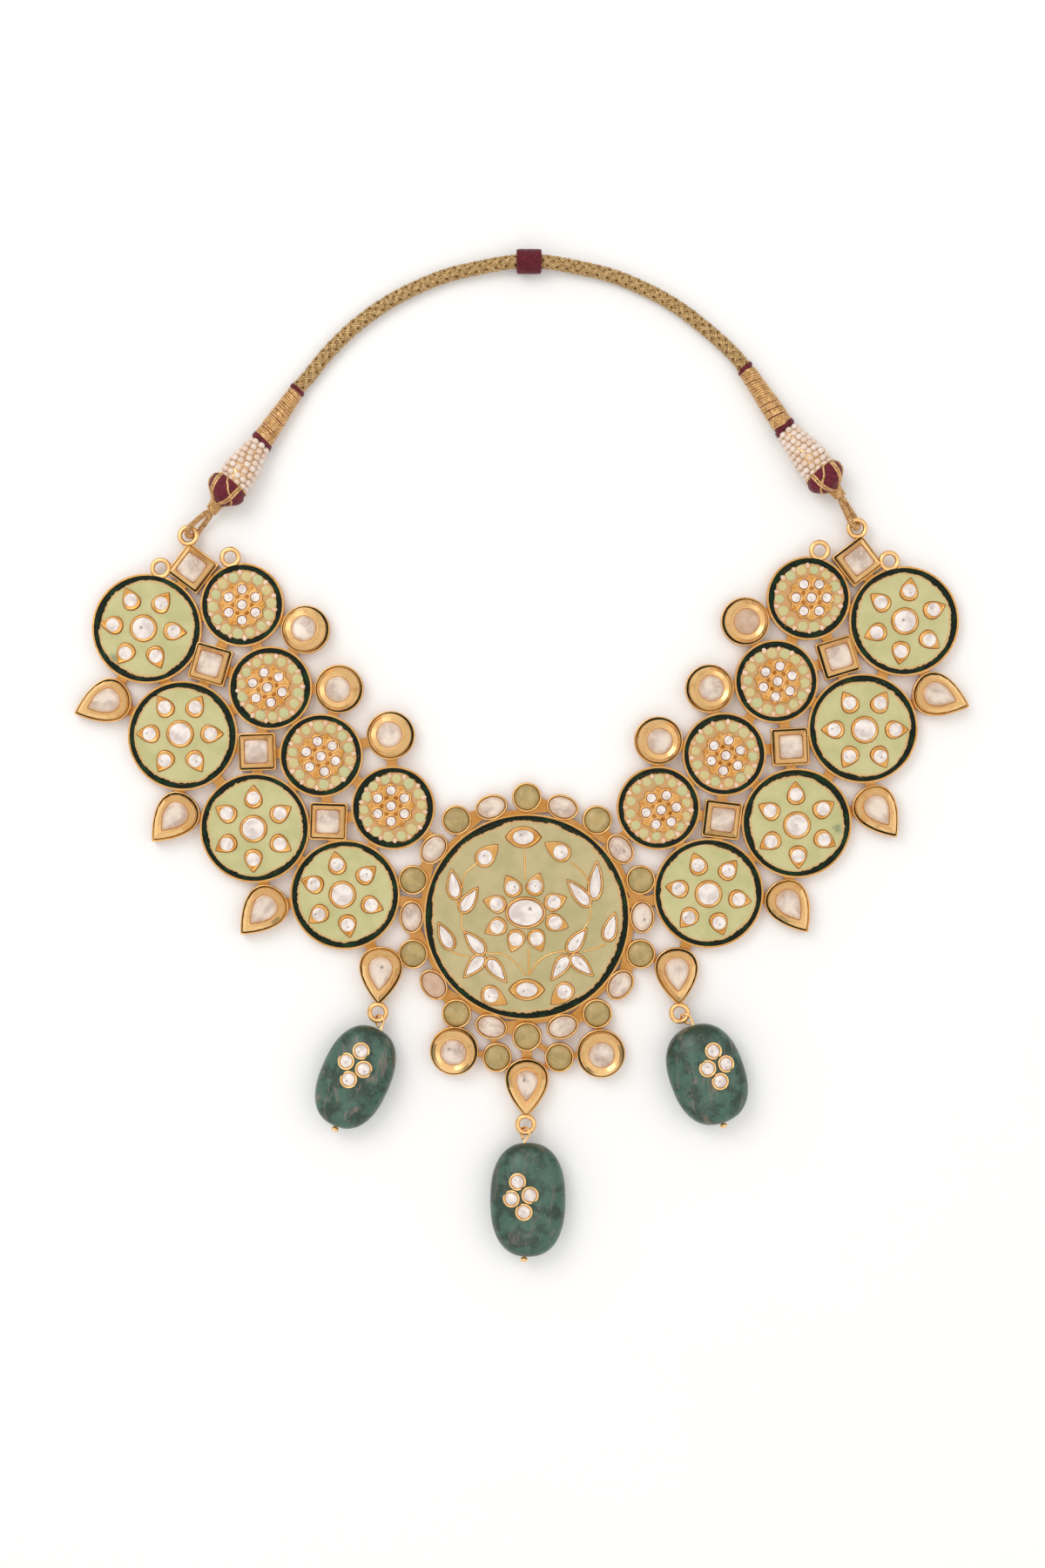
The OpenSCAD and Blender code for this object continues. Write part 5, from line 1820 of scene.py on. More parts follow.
@dataclass(frozen=True)
class Cut:
    """How flat uncut stones are faceted by hand."""

    table: float = 0.80
    shoulder: float = 0.95
    crown: float = 0.4
    uneven: float = 0.05

    def stone(
        self,
        work: Work,
        outline: Sequence[Vector],
        at: Matrix,
        height: float,
        number: int,
        rng: random.Random,
        spread: float = 1.0,
    ) -> None:
        """Add a stone with uneven facets and a nearly flat table.

        Args:
            work: Piece that it is added to.
            outline: Its girdle.
            at: Frame of its seat.
            height: From seat to table.
            number: The stone's own number.
            rng: Source of the unevenness.
            spread: How far it widens above its cell, as a share of the girdle.
        """
        half_x = max(abs(p.x) for p in outline)
        half_y = max(abs(p.y) for p in outline)
        middle = sum(outline, Vector()) / len(outline)
        levels = (
            (1.0, 0.0, 0.0),
            (1.0, height - 0.92 * self.crown, 0.0),
            (spread, height - 0.8 * self.crown, 0.0),
            (self.shoulder * spread, height - 0.38 * self.crown, 0.5 * self.uneven),
            (self.table * spread, height - 0.05, self.uneven),
        )
        rings, marks = [], []
        for share, z, uneven in levels:
            ring, mark = [], []
            for p in outline:
                own = share * (1 + rng.uniform(-uneven, uneven))
                q = middle + own * (p - middle)
                drop = rng.uniform(-0.6, 0.4) * uneven
                ring.append(at @ Vector((q.x, q.y, z + drop)))
                way = Vector(((p.x - middle.x) / half_x, (p.y - middle.y) / half_y)).normalized()
                mark.append((own * way.x / spread, own * way.y / spread, float(number)))
            rings.append(ring)
            marks.append(mark)
        n = len(outline)
        work.skin(rings, 0, marks, ends=False)
        work.add([at @ p for p in outline], [tuple(range(n - 1, -1, -1))], 0, marks[0])
        shift = Vector((rng.uniform(-0.1, 0.1) * half_x, rng.uniform(-0.1, 0.1) * half_y, height))
        top = middle + shift
        fan = [(i, (i + 1) % n, n) for i in range(n)]
        point = (top.x / half_x, top.y / half_y, float(number))
        work.add([*rings[-1], at @ top], fan, 0, [*marks[-1], point])


def bowl(work: Work, outline: Sequence[Vector], at: Matrix, rise: float, wire: float) -> None:
    """Add the gold that laps a stone: a dished plate inside a burnished lip.

    Args:
        work: Piece that it is added to.
        outline: Outer edge of the lip.
        at: Frame of the cell's top.
        rise: Height of the lip.
        wire: Width of the lip.
    """
    middle = sum(outline, Vector()) / len(outline)
    reach = sum((p - middle).length for p in outline) / len(outline)
    inner = 1 - 1.1 * wire / reach

    def ring(share: float, z: float) -> list[Vector]:
        """The outline drawn in and raised."""
        return [at @ (middle + share * (p - middle) + z * UP) for p in outline]

    outer = [ring(1.0, -0.1), ring(1.0, 0.5 * rise), ring((1 + inner) / 2, rise)]
    edge = ring(inner, 0.35 * rise)
    work.skin([*outer, edge], Tone.WIRE, ends=False)
    # The dished plate takes the bowls' gold, darkened as painted shade
    plate = [edge, ring(inner * 0.8, 0.1 * rise), ring(inner * 0.5, 0.02)]
    work.skin(plate, Tone.BOWL, ends=False)
    n = len(outline)
    work.add(plate[-1], [tuple(range(n))], Tone.BOWL)


@dataclass
class Discs:
    """Stones, gold bowls, lines of painted shadow, painted petals and dots on the discs of one
    wing.
    """

    wing: Wing
    finishes: Finishes
    cut: Cut = Cut()
    cell_top: float = 2.9
    cell_depth: float = 0.6
    stone_top: float = 3.25
    enamel_top: float = 2.6
    petal_w: float = 3.9
    petal_l: float = 5.1
    petal_ring: float = 0.536
    petal_stone_r: float = 1.4
    petal_stone_out: float = 0.3
    eye_r: float = 3.0
    eye_stone_r: float = 2.57
    dot_ring_r: float = 3.55
    dot_r: float = 1.1
    star_r: float = 5.5
    petal_spread: float = 1.14
    bowl_in: float = 0.04
    eye_lip: tuple[float, float] = (0.24, 0.26)
    petal_lip: tuple[float, float] = (0.2, 0.24)
    shade_out: float = 0.08
    shade_r: float = 0.13
    dot_shade: tuple[float, float] = (0.07, 0.1)
    dot_lip: tuple[float, float] = (0.3, 0.17)
    mint_count: int = 14
    mint: Point = (6.6, 1.2, 1.15)
    pink: Point = (7.5, 0.62, 0.48)

    def __post_init__(self) -> None:
        """Start the wing's own source of unevenness, and work out the stones' heights."""
        self.rng = random.Random(21 if self.wing.side is Side.LEFT else 22)
        self.floor = self.cell_top - self.cell_depth
        self.high = self.stone_top - self.floor

    def build(self) -> None:
        """Build the stones, the bowls with their lines of painted shadow, and the painted petals.
        """
        self.build_stones()
        self.build_bowls()
        self.build_petals()

    def eye(self, i: int) -> Vector:
        """Middle of the cells of a large disc."""
        return self.wing.large(i) + self.eye_r * Vector((*self.wing.pairs[i].large_shift, 0.0))

    def star(self, i: int) -> Vector:
        """Middle of the stones of a small disc."""
        return self.wing.small(i) + self.dot_r * Vector((*self.wing.pairs[i].star_shift, 0.0))

    def petal_seats(self, i: int, z: float) -> list[Matrix]:
        """Frames of the pear cells of a large disc, at a height.

        Args:
            i: Number of the disc.
            z: The height.

        Returns:
            The frames.
        """
        row = self.wing.pairs[i]
        ring = self.wing.large_r * self.petal_ring
        return [
            seat(self.eye(i) + flat(ring, row.turn + 60 * k), z, row.turn + 60 * k)
            for k in range(6)
        ]

    def dot_seats(self, i: int, z: float) -> list[Matrix]:
        """Frames of the stones of a small disc, at a height.

        Args:
            i: Number of the disc.
            z: The height.

        Returns:
            The frames.
        """
        middle, turn = self.star(i), self.wing.pairs[i].star_turn
        ring = [middle + flat(self.dot_ring_r, turn + 60 * k) for k in range(6)]
        return [seat(p, z, self.rng.uniform(0, 90)) for p in (middle, *ring)]

    def build_stones(self) -> None:
        """Stones of the large and the small discs."""
        for name, fill in (("large", self.large_stones), ("small", self.small_stones)):
            work = Work()
            fill(work)
            piece = work.piece(
                f"{self.wing.side.value}_{name}_disc_stones", [self.finishes.stone], False
            )
            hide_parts(f"{self.wing.side.value}_{name}_stones")

    def large_stones(self, work: Work) -> None:
        """Add a large middle stone and six round ones on each large disc.

        Args:
            work: Piece that they are added to.
        """
        for i in range(4):
            at = seat(self.eye(i), self.floor, self.rng.uniform(0, 40))
            self.cut.stone(work, circle(self.eye_stone_r, 18), at, self.high, 10 * i, self.rng)
            for k, at in enumerate(self.petal_seats(i, self.floor)):
                at = at @ Matrix.Translation((self.petal_stone_out, 0, 0))
                ring, number = circle(self.petal_stone_r, 14), 10 * i + k + 1
                self.cut.stone(work, ring, at, self.high, number, self.rng, self.petal_spread)

    def small_stones(self, work: Work) -> None:
        """Add seven small stones on each small disc.

        Args:
            work: Piece that they are added to.
        """
        for i in range(4):
            for k, at in enumerate(self.dot_seats(i, self.floor)):
                number = 10 * i + k + 40
                self.cut.stone(work, circle(self.dot_r, 12), at, self.high, number, self.rng)

    def build_bowls(self) -> None:
        """Gold worked up round the stones of the large discs, dark lines of painted shadow round
        their cells and round the small stones, gold lips round the small stones, and grains round
        them.
        """
        work = Work()
        sunk = (self.cell_top - self.enamel_top) * UP
        for i in range(4):
            eye_seat = seat(self.eye(i), self.cell_top, 0)
            bowl(work, circle(self.eye_r - self.bowl_in, 36), eye_seat, *self.eye_lip)
            # Dark lines of painted shadow round the cells, down on the enamel
            shadow_lines = [[eye_seat @ (p - sunk) for p in circle(self.eye_r + self.shade_out, 36)]]
            for at in self.petal_seats(i, self.cell_top):
                outline = grown_pear(self.petal_w, self.petal_l, -self.bowl_in, 28)
                bowl(work, outline, at, *self.petal_lip)
                edge = grown_pear(self.petal_w, self.petal_l, self.shade_out, 28)
                shadow_lines.append([at @ (p - sunk) for p in edge])
            for edge in shadow_lines:
                work.tube(edge, self.shade_r, 6, Tone.SHADE, closed=True)
            # Round each small stone, a dark ring of painted shadow next to it and a gold lip
            # outside that
            for at in self.dot_seats(i, self.cell_top):
                for (out, wire_r), tone in (
                    (self.dot_shade, Tone.SHADE), (self.dot_lip, Tone.WIRE),
                ):
                    edge = [at @ p for p in circle(self.dot_r + out, 20)]
                    work.tube(edge, wire_r, 6, tone, closed=True)
            self.grains(work, i)
        piece = work.piece(
            f"{self.wing.side.value}_stone_bowls",
            [self.finishes.wire, self.finishes.bowl, self.finishes.shade],
        )

    def grains(self, work: Work, i: int) -> None:
        """Add the small leaves of gold between the stones of a small disc, in the darker golds of
        painted shade.

        Args:
            work: Piece that they are added to.
            i: Number of the disc.
        """
        turn = self.wing.pairs[i].star_turn
        # Outer leaves in the bowls' gold darkened as painted shade, inner ones in the dark gold of
        # painted shadow
        outer = [(self.star_r - 0.75, 30 * k, 0.5, 0.34, Tone.BOWL) for k in range(12)]
        inner = [(2.15, 60 * k + 30, 0.42, 0.5, Tone.SHADE) for k in range(12, 18)]
        for k, (out, angle, long, wide, tone) in enumerate(outer + inner):
            a = turn + angle
            place = self.star(i) + flat(out, a) + self.cell_top * UP
            high = self.rng.uniform(0.14, 0.22)
            axes = (long * flat(1.0, a), wide * flat(1.0, a + 90), high * UP)
            work.ball(place, axes, 10, 6, tone, float(k), 2.2)

    def build_petals(self) -> None:
        """Painted petals round the small discs' stars, with pink dots between them."""
        side = self.wing.side.value
        green = Petal(((0.56, 0.50, 0.22), (0.50, 0.50, 0.24), (0.60, 0.48, 0.20)))
        pink = Petal(((0.74, 0.50, 0.34), (0.80, 0.58, 0.44), (0.70, 0.44, 0.28)))
        work = Work()
        for i in range(4):
            for k in range(self.mint_count):
                turn = self.wing.pairs[i].star_turn + 360 * k / self.mint_count
                turn += self.rng.uniform(-2, 2)
                self.drop(work, i, turn, self.mint, 0, k + 20 * i)
                self.drop(work, i, turn + 180 / self.mint_count, self.pink, 1, k + 20 * i + 7)
        finishes = [green.material(f"mint petals {side}"), pink.material(f"pink dots {side}")]
        piece = work.piece(f"{side}_painted_petals", finishes)

    def drop(self, work: Work, i: int, way: float, size: Point, kind: int, number: int) -> None:
        """Add a low drop of enamel.

        Args:
            work: Piece that it is added to.
            i: Number of its disc.
            way: Its direction from the disc's middle.
            size: How far out it lies, its half length and its half width.
            kind: Number of its finish.
            number: Its own number, for its tone.
        """
        out, long, wide = size
        out += self.rng.uniform(-0.12, 0.12)
        place = self.wing.small(i) + flat(out, way) + self.enamel_top * UP
        uneven = self.rng.uniform(0.9, 1.08)
        axes = (long * uneven * flat(1.0, way), wide * uneven * flat(1.0, way + 90), 0.13 * UP)
        work.ball(place, axes, 14, 8, kind, number / 10, 2.6)


@dataclass
class Medallion:
    """Stones, cell linings and stems of the middle disc, and the stones of its ring."""

    finishes: Finishes
    cut: Cut = Cut()
    floor: float = 2.1
    cell_top: float = 2.9
    stone_top: float = 3.25
    wall: float = 0.4
    flower: Vector = field(default_factory=lambda: Vector((-0.3, 1.0, 0.0)))
    middle: tuple[float, float] = (9.0, 7.0)
    # Direction, and share of the flower's ring
    petals: tuple[Row, ...] = (
        (20.5, 1.04), (70, 0.97), (117.5, 0.97), (163.5, 1.04),
        (206.5, 1.09), (250, 0.97), (293, 0.97), (341.5, 1.08),
    )
    flower_ring: float = 6.5
    petal: tuple[float, float] = (3.9, 5.2)
    petal_stone_r: float = 1.4
    drop_stone_r: float = 1.5
    round_out: float = 0.2
    leaf: tuple[float, float] = (3.4, 7.0)
    lens: tuple[float, float] = (4.7, 8.0)
    lens_stone: tuple[float, float] = (5.0, 3.4)
    drop: tuple[float, float] = (4.2, 6.4)
    # Share of the medallion's radius, direction, direction of the tip, and a leaf's longer length
    leaves: tuple[Row, ...] = (
        (0.71, 166, 98, 1), (0.64, 176, 56, 1), (0.79, 203.5, 117, 1),
        (0.545, 221, 132, 1), (0.555, 222, 227, 1), (0.555, 226.5, -51, 1),
        (0.67, 14, 85, 1.3), (0.62, 10, 131, 1.14), (0.81, -17, 74, 1),
        (0.525, -40.5, 52, 1), (0.55, -42.5, -125, 1), (0.565, -41, -43, 1),
    )
    lenses: tuple[Row, ...] = ((0.775, 92.5, 0), (0.705, -90, 0))
    drops: tuple[Row, ...] = (
        (0.714, 122, 45), (0.712, 65.5, 150), (0.837, -112, -29), (0.823, -66, -137),
    )
    stems: tuple[tuple[Row, ...], ...] = (
        ((-0.5, 15.4), (-0.5, 12.4), (-0.4, 8.6)),
        ((0.4, -7.0), (0.4, -10.2), (0.4, -13.3)),
        (
            (-0.2, -13.4), (-2.7, -10.4), (-5.9, -8.4), (-9.7, -8),
            (-14.6, -3.1), (-15, 0.7), (-16.4, 4.1),
        ),
        ((-14.9, 6.6), (-14.2, 9.8), (-11.4, 12.4)),
        ((9.2, -7.8), (13.9, -1.5), (14.6, 2.3), (13.8, 8.9), (10.2, 12.5)),
        ((-13.2, -9.1), (-15.2, -8.7), (-17.2, -8)),
        ((13, -8), (15.6, -7.2), (18.2, -6.3)),
        ((0.6, -13.4), (2.5, -10.4), (5.6, -8.4), (9.2, -7.8)),
    )
    lining_in: float = 0.12
    lining_r: float = 0.16
    # Line of painted shadow round each cell, down on the enamel
    shade_out: float = 0.08
    shade_sink: float = 0.3
    shade_r: float = 0.1
    plate_in: float = 0.3
    plate_sink: float = 0.12
    # Growth of the middle cell's outline, height, radius, sides and gold of each line round it;
    # the two dark ones are painted shadow
    middle_lines: tuple[tuple[float, float, float, int, Tone], ...] = (
        (-0.26, 0.0, 0.2, 8, Tone.WIRE),
        (-0.84, 0.06, 0.11, 8, Tone.SHADE),
        (0.16, -0.3, 0.11, 6, Tone.SHADE),
    )
    stem_z: float = 2.58
    stem_r: float = 0.2
    round_spread: float = 1.17
    halo_floor: float = 1.5
    halo_top: float = 3.2
    halo_wall: float = 1.1
    dome_r: float = 2.88
    dome_h: float = 1.25
    dome_z: float = 2.35
    lip_r: float = 3.17
    lip_wire_r: float = 0.24
    lip_z: float = 2.6

    def __post_init__(self) -> None:
        """Start the medallion's own source of unevenness, and number its cells."""
        self.rng = random.Random(31)
        self.first_leaf = len(self.petals)
        self.first_drop = self.first_leaf + len(self.leaves)
        self.first_lens = self.first_drop + len(self.drops)

    def cells(self) -> list[tuple[Callable[[float], list[Vector]], Matrix]]:
        """Outline grown by a distance, and frame, of every cell.

        Returns:
            The flower's eight cells, then twelve leaves, four drops and two lenses.
        """
        found: list[tuple[Callable[[float], list[Vector]], Matrix]] = []

        def pears(size: tuple[float, float], count: int) -> Callable[[float], list[Vector]]:
            """Outline of a pear cell."""
            return lambda d: grown_pear(size[0], size[1], d, count)

        def lens(d: float) -> list[Vector]:
            """Outline of a lens cell."""
            return eye(self.lens[0] + 2 * d, self.lens[1] + 5 * d, 24)

        def place(share: float, way: float, tip: float, shift: float) -> Matrix:
            """Frame of a cell near the field's edge, shifted towards its tip."""
            at = seat(flat(MEDALLION_R * share, way), 0, tip)
            return at @ Matrix.Translation((shift, 0, 0))

        for a, share in self.petals:
            middle = self.flower + flat(self.flower_ring * share, a)
            found.append((pears(self.petal, 22), seat(middle, 0, a)))
        for share, a, tip, length in self.leaves:
            size = (self.leaf[0], self.leaf[1] * length)
            found.append((pears(size, 20), place(share, a, tip, self.leaf[0] / 2)))
        for share, a, tip in self.drops:
            back = (self.drop[0] - self.drop[1]) / 2
            found.append((pears(self.drop, 18), place(share, a, tip, back)))
        for share, a, tip in self.lenses:
            found.append((lens, place(share, a, tip, 0.0)))
        return found

    def is_round(self, number: int) -> bool:
        """Whether a cell, a petal's or an edge drop's, holds a round stone."""
        return number < self.first_leaf or self.first_drop <= number < self.first_lens

    def build(self) -> None:
        """Build stones, linings, stems and the ring's stones."""
        self.build_stones()
        self.build_linings()
        self.build_stems()
        self.build_halo()

    def build_stones(self) -> None:
        """Stones of the flower, the leaves and the edge."""
        work = Work()
        high = self.stone_top - self.floor
        lift = Matrix.Translation((0, 0, self.floor))
        walls = 2 * self.wall + 0.1
        middle = oval(self.middle[0] - walls, self.middle[1] - walls, 24)
        self.cut.stone(work, middle, lift @ seat(self.flower, 0, 0), high + 0.1, 3, self.rng)
        for number, (outline, at) in enumerate(self.cells()):
            own = outline(-self.wall - 0.02)
            if self.is_round(number):
                petal = number < self.first_leaf
                radius = self.petal_stone_r if petal else self.drop_stone_r
                own = [p + self.round_out * ALONG for p in circle(radius, 16)]
            elif number >= self.first_lens:
                own = oval(self.lens_stone[0], self.lens_stone[1], 20)
            spread = self.round_spread if self.is_round(number) else 1.0
            self.cut.stone(work, own, lift @ at, high, 7 + number, self.rng, spread)
        piece = work.piece("medallion_stones", [self.finishes.stone], False)
        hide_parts("medallion_centre_stone", "flower_stones", "leaf_stones", "edge_stones")

    def build_linings(self) -> None:
        """Gold walls and bowls of the cells, and dark lines of painted shadow round them."""
        work = Work()
        lift = Matrix.Translation((0, 0, self.cell_top))
        for number, (outline, at) in enumerate(self.cells()):
            edge = [lift @ at @ p for p in outline(-self.lining_in)]
            work.tube(edge, self.lining_r, 8, Tone.WIRE, closed=True)
            # Dark line of painted shadow round the cell, on the enamel
            edge = [lift @ at @ (p - self.shade_sink * UP) for p in outline(self.shade_out)]
            work.tube(edge, self.shade_r, 6, Tone.SHADE, closed=True)
            # Bowl plate in the bowls' gold, darkened as painted shade
            if number < self.first_leaf or number >= self.first_drop:
                plate = [lift @ at @ (p - self.plate_sink * UP) for p in outline(-self.plate_in)]
                work.add(plate, [tuple(range(len(plate)))], Tone.BOWL)
        long, wide = self.middle
        at = lift @ seat(self.flower, 0, 0)
        for more, z, radius, sides, tone in self.middle_lines:
            edge = [at @ (p + z * UP) for p in oval(long + more, wide + more, 40)]
            work.tube(edge, radius, sides, tone, closed=True)
        piece = work.piece(
            "medallion_cell_walls", [self.finishes.wire, self.finishes.bowl, self.finishes.shade]
        )

    def build_stems(self) -> None:
        """Thin gold stems laid in the enamel."""
        work = Work()
        for stem in self.stems:
            way = Route([(*row, self.stem_z, self.stem_r) for row in stem], 0.4)
            work.tube(way.points, way.radii, 8, 0)
        piece = work.piece("medallion_stems", [self.finishes.wire])

    def build_halo(self) -> None:
        """Ovals and domes of the ring round the medallion."""
        stones, domes, lips = Work(), Work(), Work()
        for k, (place, a) in enumerate(HALO.ovals()):
            outline = oval(HALO.oval_l - self.halo_wall, OVAL_W - self.halo_wall, 20)
            at = seat(place, self.halo_floor, a + 90)
            high = self.halo_top - self.halo_floor
            self.cut.stone(stones, outline, at, high, 60 + k, self.rng)
        piece = stones.piece("halo_oval_stones", [self.finishes.foiled], False)
        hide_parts("halo_ovals")
        for k, place in enumerate(HALO.cabochons()):
            axes = (flat(self.dome_r, 0), flat(self.dome_r, 90), self.dome_h * UP)
            domes.ball(place + self.dome_z * UP, axes, 36, 20, 0, float(k), 2.2)
            ring = [place + p + self.lip_z * UP for p in circle(self.lip_r, 40)]
            lips.tube(ring, self.lip_wire_r, 8, 0, closed=True)
        for place, a in HALO.ovals():
            at = seat(place, self.lip_z, a + 90)
            ring = [at @ p for p in oval(HALO.oval_l - 0.5, OVAL_W - 0.5, 40)]
            lips.tube(ring, self.lip_wire_r, 8, 0, closed=True)
        piece = domes.piece("halo_domes", [self.finishes.olive])
        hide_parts("halo_cabochons")
        lips.piece("halo_lips", [self.finishes.wire])


@dataclass
class HighSettings:
    """Stones of the square, round and pear settings, lines of painted shadow round them, and the
    dark lines on their sides.
    """

    wing: Wing
    finishes: Finishes
    cut: Cut = Cut(crown=0.55, table=0.76, shoulder=0.93)
    floor: float = 3.9
    top: float = 5.45
    square: float = 5.4
    round_r: float = 2.75
    pear: tuple[float, float] = (5.1, 7.1)
    tight_spread: float = 1.02
    wide_spread: float = 1.12
    # Line of painted shadow round each stone, in the dark gold
    lip_out: float = 0.04
    lip_r: float = 0.13
    lip_z: float = 1.05
    line_in: float = 0.4
    line_r: float = 0.17
    line_sway: float = 0.08
    line_z: float = 3.2
    edge_share: float = 0.985
    edge_r: float = 0.17
    edge_z: float = 3.18

    def __post_init__(self) -> None:
        """Start the wing's own source of unevenness, and its three pieces."""
        left = self.wing.side is Side.LEFT
        self.rng = random.Random(41 if left else 42)
        self.first = 80 if left else 100
        self.stones, self.lips, self.skirts = Work(), Work(), Work()

    def build(self) -> None:
        """Build the stones, the lines of painted shadow round them and the skirts' lines."""
        wing, side = self.wing, self.wing.side.value
        nodes = [f"{side}_square_stones", f"{side}_drop_stone"]
        for i, high in enumerate(wing.highs):
            self.square_stone(wing.square(i), high.square_turn, 3 * i)
            self.round_stone(wing.round(i), high.lean_dir, high.lean, 3 * i + 1)
            self.pear_stone(wing.pear(i), wing.pear_dir(i), 3 * i + 2, self.wide_spread)
            nodes += [f"{side}_round_stone_{i + 1}", f"{side}_pear_stone_{i + 1}"]
        nodes.append(f"{side}_round_stone_4")
        drop = Drop.LEFT if wing.side is Side.LEFT else Drop.RIGHT
        _, _, lean_dir, lean = HALO.lower_rounds[drop]
        self.square_stone(wing.end_square(), wing.end_turn, 9)
        self.round_stone(HALO.lower_round(drop), lean_dir, lean, 10)
        self.pear_stone(HALO.drop_pear(drop), HALO.drop_pears[drop][2], 11, self.wide_spread)
        if wing.side is Side.LEFT:
            middle, tip = HALO.drop_pear(Drop.CENTRE), HALO.drop_pears[Drop.CENTRE][2]
            self.pear_stone(middle, tip, 12, self.tight_spread)
            nodes.append("centre_drop_stone")
        piece = self.stones.piece(f"{side}_high_stones", [self.finishes.foiled], False)
        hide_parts(*nodes)
        self.lips.piece(f"{side}_bezel_shadow_lines", [self.finishes.shade])
        finishes = [self.finishes.line, self.finishes.wire]
        self.skirts.piece(f"{side}_skirt_lines", finishes)

    def finish_setting(
        self,
        outlines: tuple[list[Vector], list[Vector]],
        place: Vector,
        turn: float,
        number: int,
        spread: float,
        lean_dir: float = 0.0,
        lean: float = 0.0,
    ) -> None:
        """Add a stone, a line of painted shadow round it, and the lines round its base.

        Args:
            outlines: Outlines of the stone and of the base.
            place: Middle of the setting.
            turn: Its turn.
            number: Its number on its wing.
            spread: How far the stone widens above its cell, as a share of its outline.
            lean_dir: Direction in which it leans.
            lean: Angle of the lean.
        """
        outline, base = outlines
        at, foot = seat(place, self.floor, turn, lean_dir, lean), seat(place, 0, turn)
        height = self.top - self.floor
        self.cut.stone(self.stones, outline, at, height, self.first + number, self.rng, spread)
        # Painted shadow: a dark gold line round the stone
        rim = [at @ ((spread + self.lip_out) * p + self.lip_z * UP) for p in outline]
        self.lips.tube(rim, self.lip_r, 8, 0, closed=True)
        reach = max(p.y for p in base)
        line = [foot @ ((1 - self.line_in / reach) * p + self.line_z * UP) for p in base]
        phase = self.rng.uniform(0, FULL_TURN)
        turns = [FULL_TURN * k / len(base) + phase for k in range(len(base))]
        widths = [self.line_r + self.line_sway * math.sin(a) for a in turns]
        self.skirts.tube(line, widths, 6, 0, closed=True)
        edge = [foot @ (self.edge_share * p + self.edge_z * UP) for p in base]
        self.skirts.tube(edge, self.edge_r, 6, 1, closed=True)

    def square_stone(self, place: Vector, turn: float, number: int) -> None:
        """Add the stone and lines of a square setting."""
        outlines = rounded_square(self.square, 0.7, 5), rounded_square(self.wing.square_w, 0.35, 4)
        self.finish_setting(outlines, place, turn, number, self.tight_spread)

    def round_stone(self, place: Vector, lean_dir: float, lean: float, number: int) -> None:
        """Add the stone and lines of a round setting, which may lean."""
        outlines = circle(self.round_r, 20), circle(self.wing.round_r, 40)
        self.finish_setting(outlines, place, 0.0, number, self.wide_spread, lean_dir, lean)

    def pear_stone(self, place: Vector, tip: float, number: int, spread: float) -> None:
        """Add the stone and lines of a pear setting, by its round end and its tip's direction."""
        outlines = pear(*self.pear, 24), pear(self.wing.pear_w, PEAR_LENGTH, 40)
        self.finish_setting(outlines, place, tip, number, spread)


# Drops


@dataclass(frozen=True)
class Hang:
    """How one bead hangs, and where its studs are."""

    drop: Drop
    hang_dir: float
    pin_dir: float
    turn: float
    shift: float
    long: float
    wide: float
    group: tuple[float, float]
    group_turn: float
    veined: float

    @property
    def name(self) -> str:
        """Start of its pieces' names."""
        return self.drop.name.lower()


BEAD_LENGTH = 23.8
BEAD_WIDTH = 17.2
HANGS = (
    Hang(
        Drop.LEFT, -79, -114.8, 1, -0.045,
        BEAD_LENGTH * 1.02, BEAD_WIDTH * 0.93, (1.48, -0.55), 0, 0.8,
    ),
    Hang(
        Drop.RIGHT, -40.5, -73.2, 3, -0.016,
        BEAD_LENGTH * 0.98, BEAD_WIDTH, (0.78, 1.27), 7, 0.85,
    ),
    Hang(Drop.CENTRE, -94.5, -90.2, 0, 0.049, 26.0, BEAD_WIDTH, (0.68, -0.8), -12, 0.45),
)


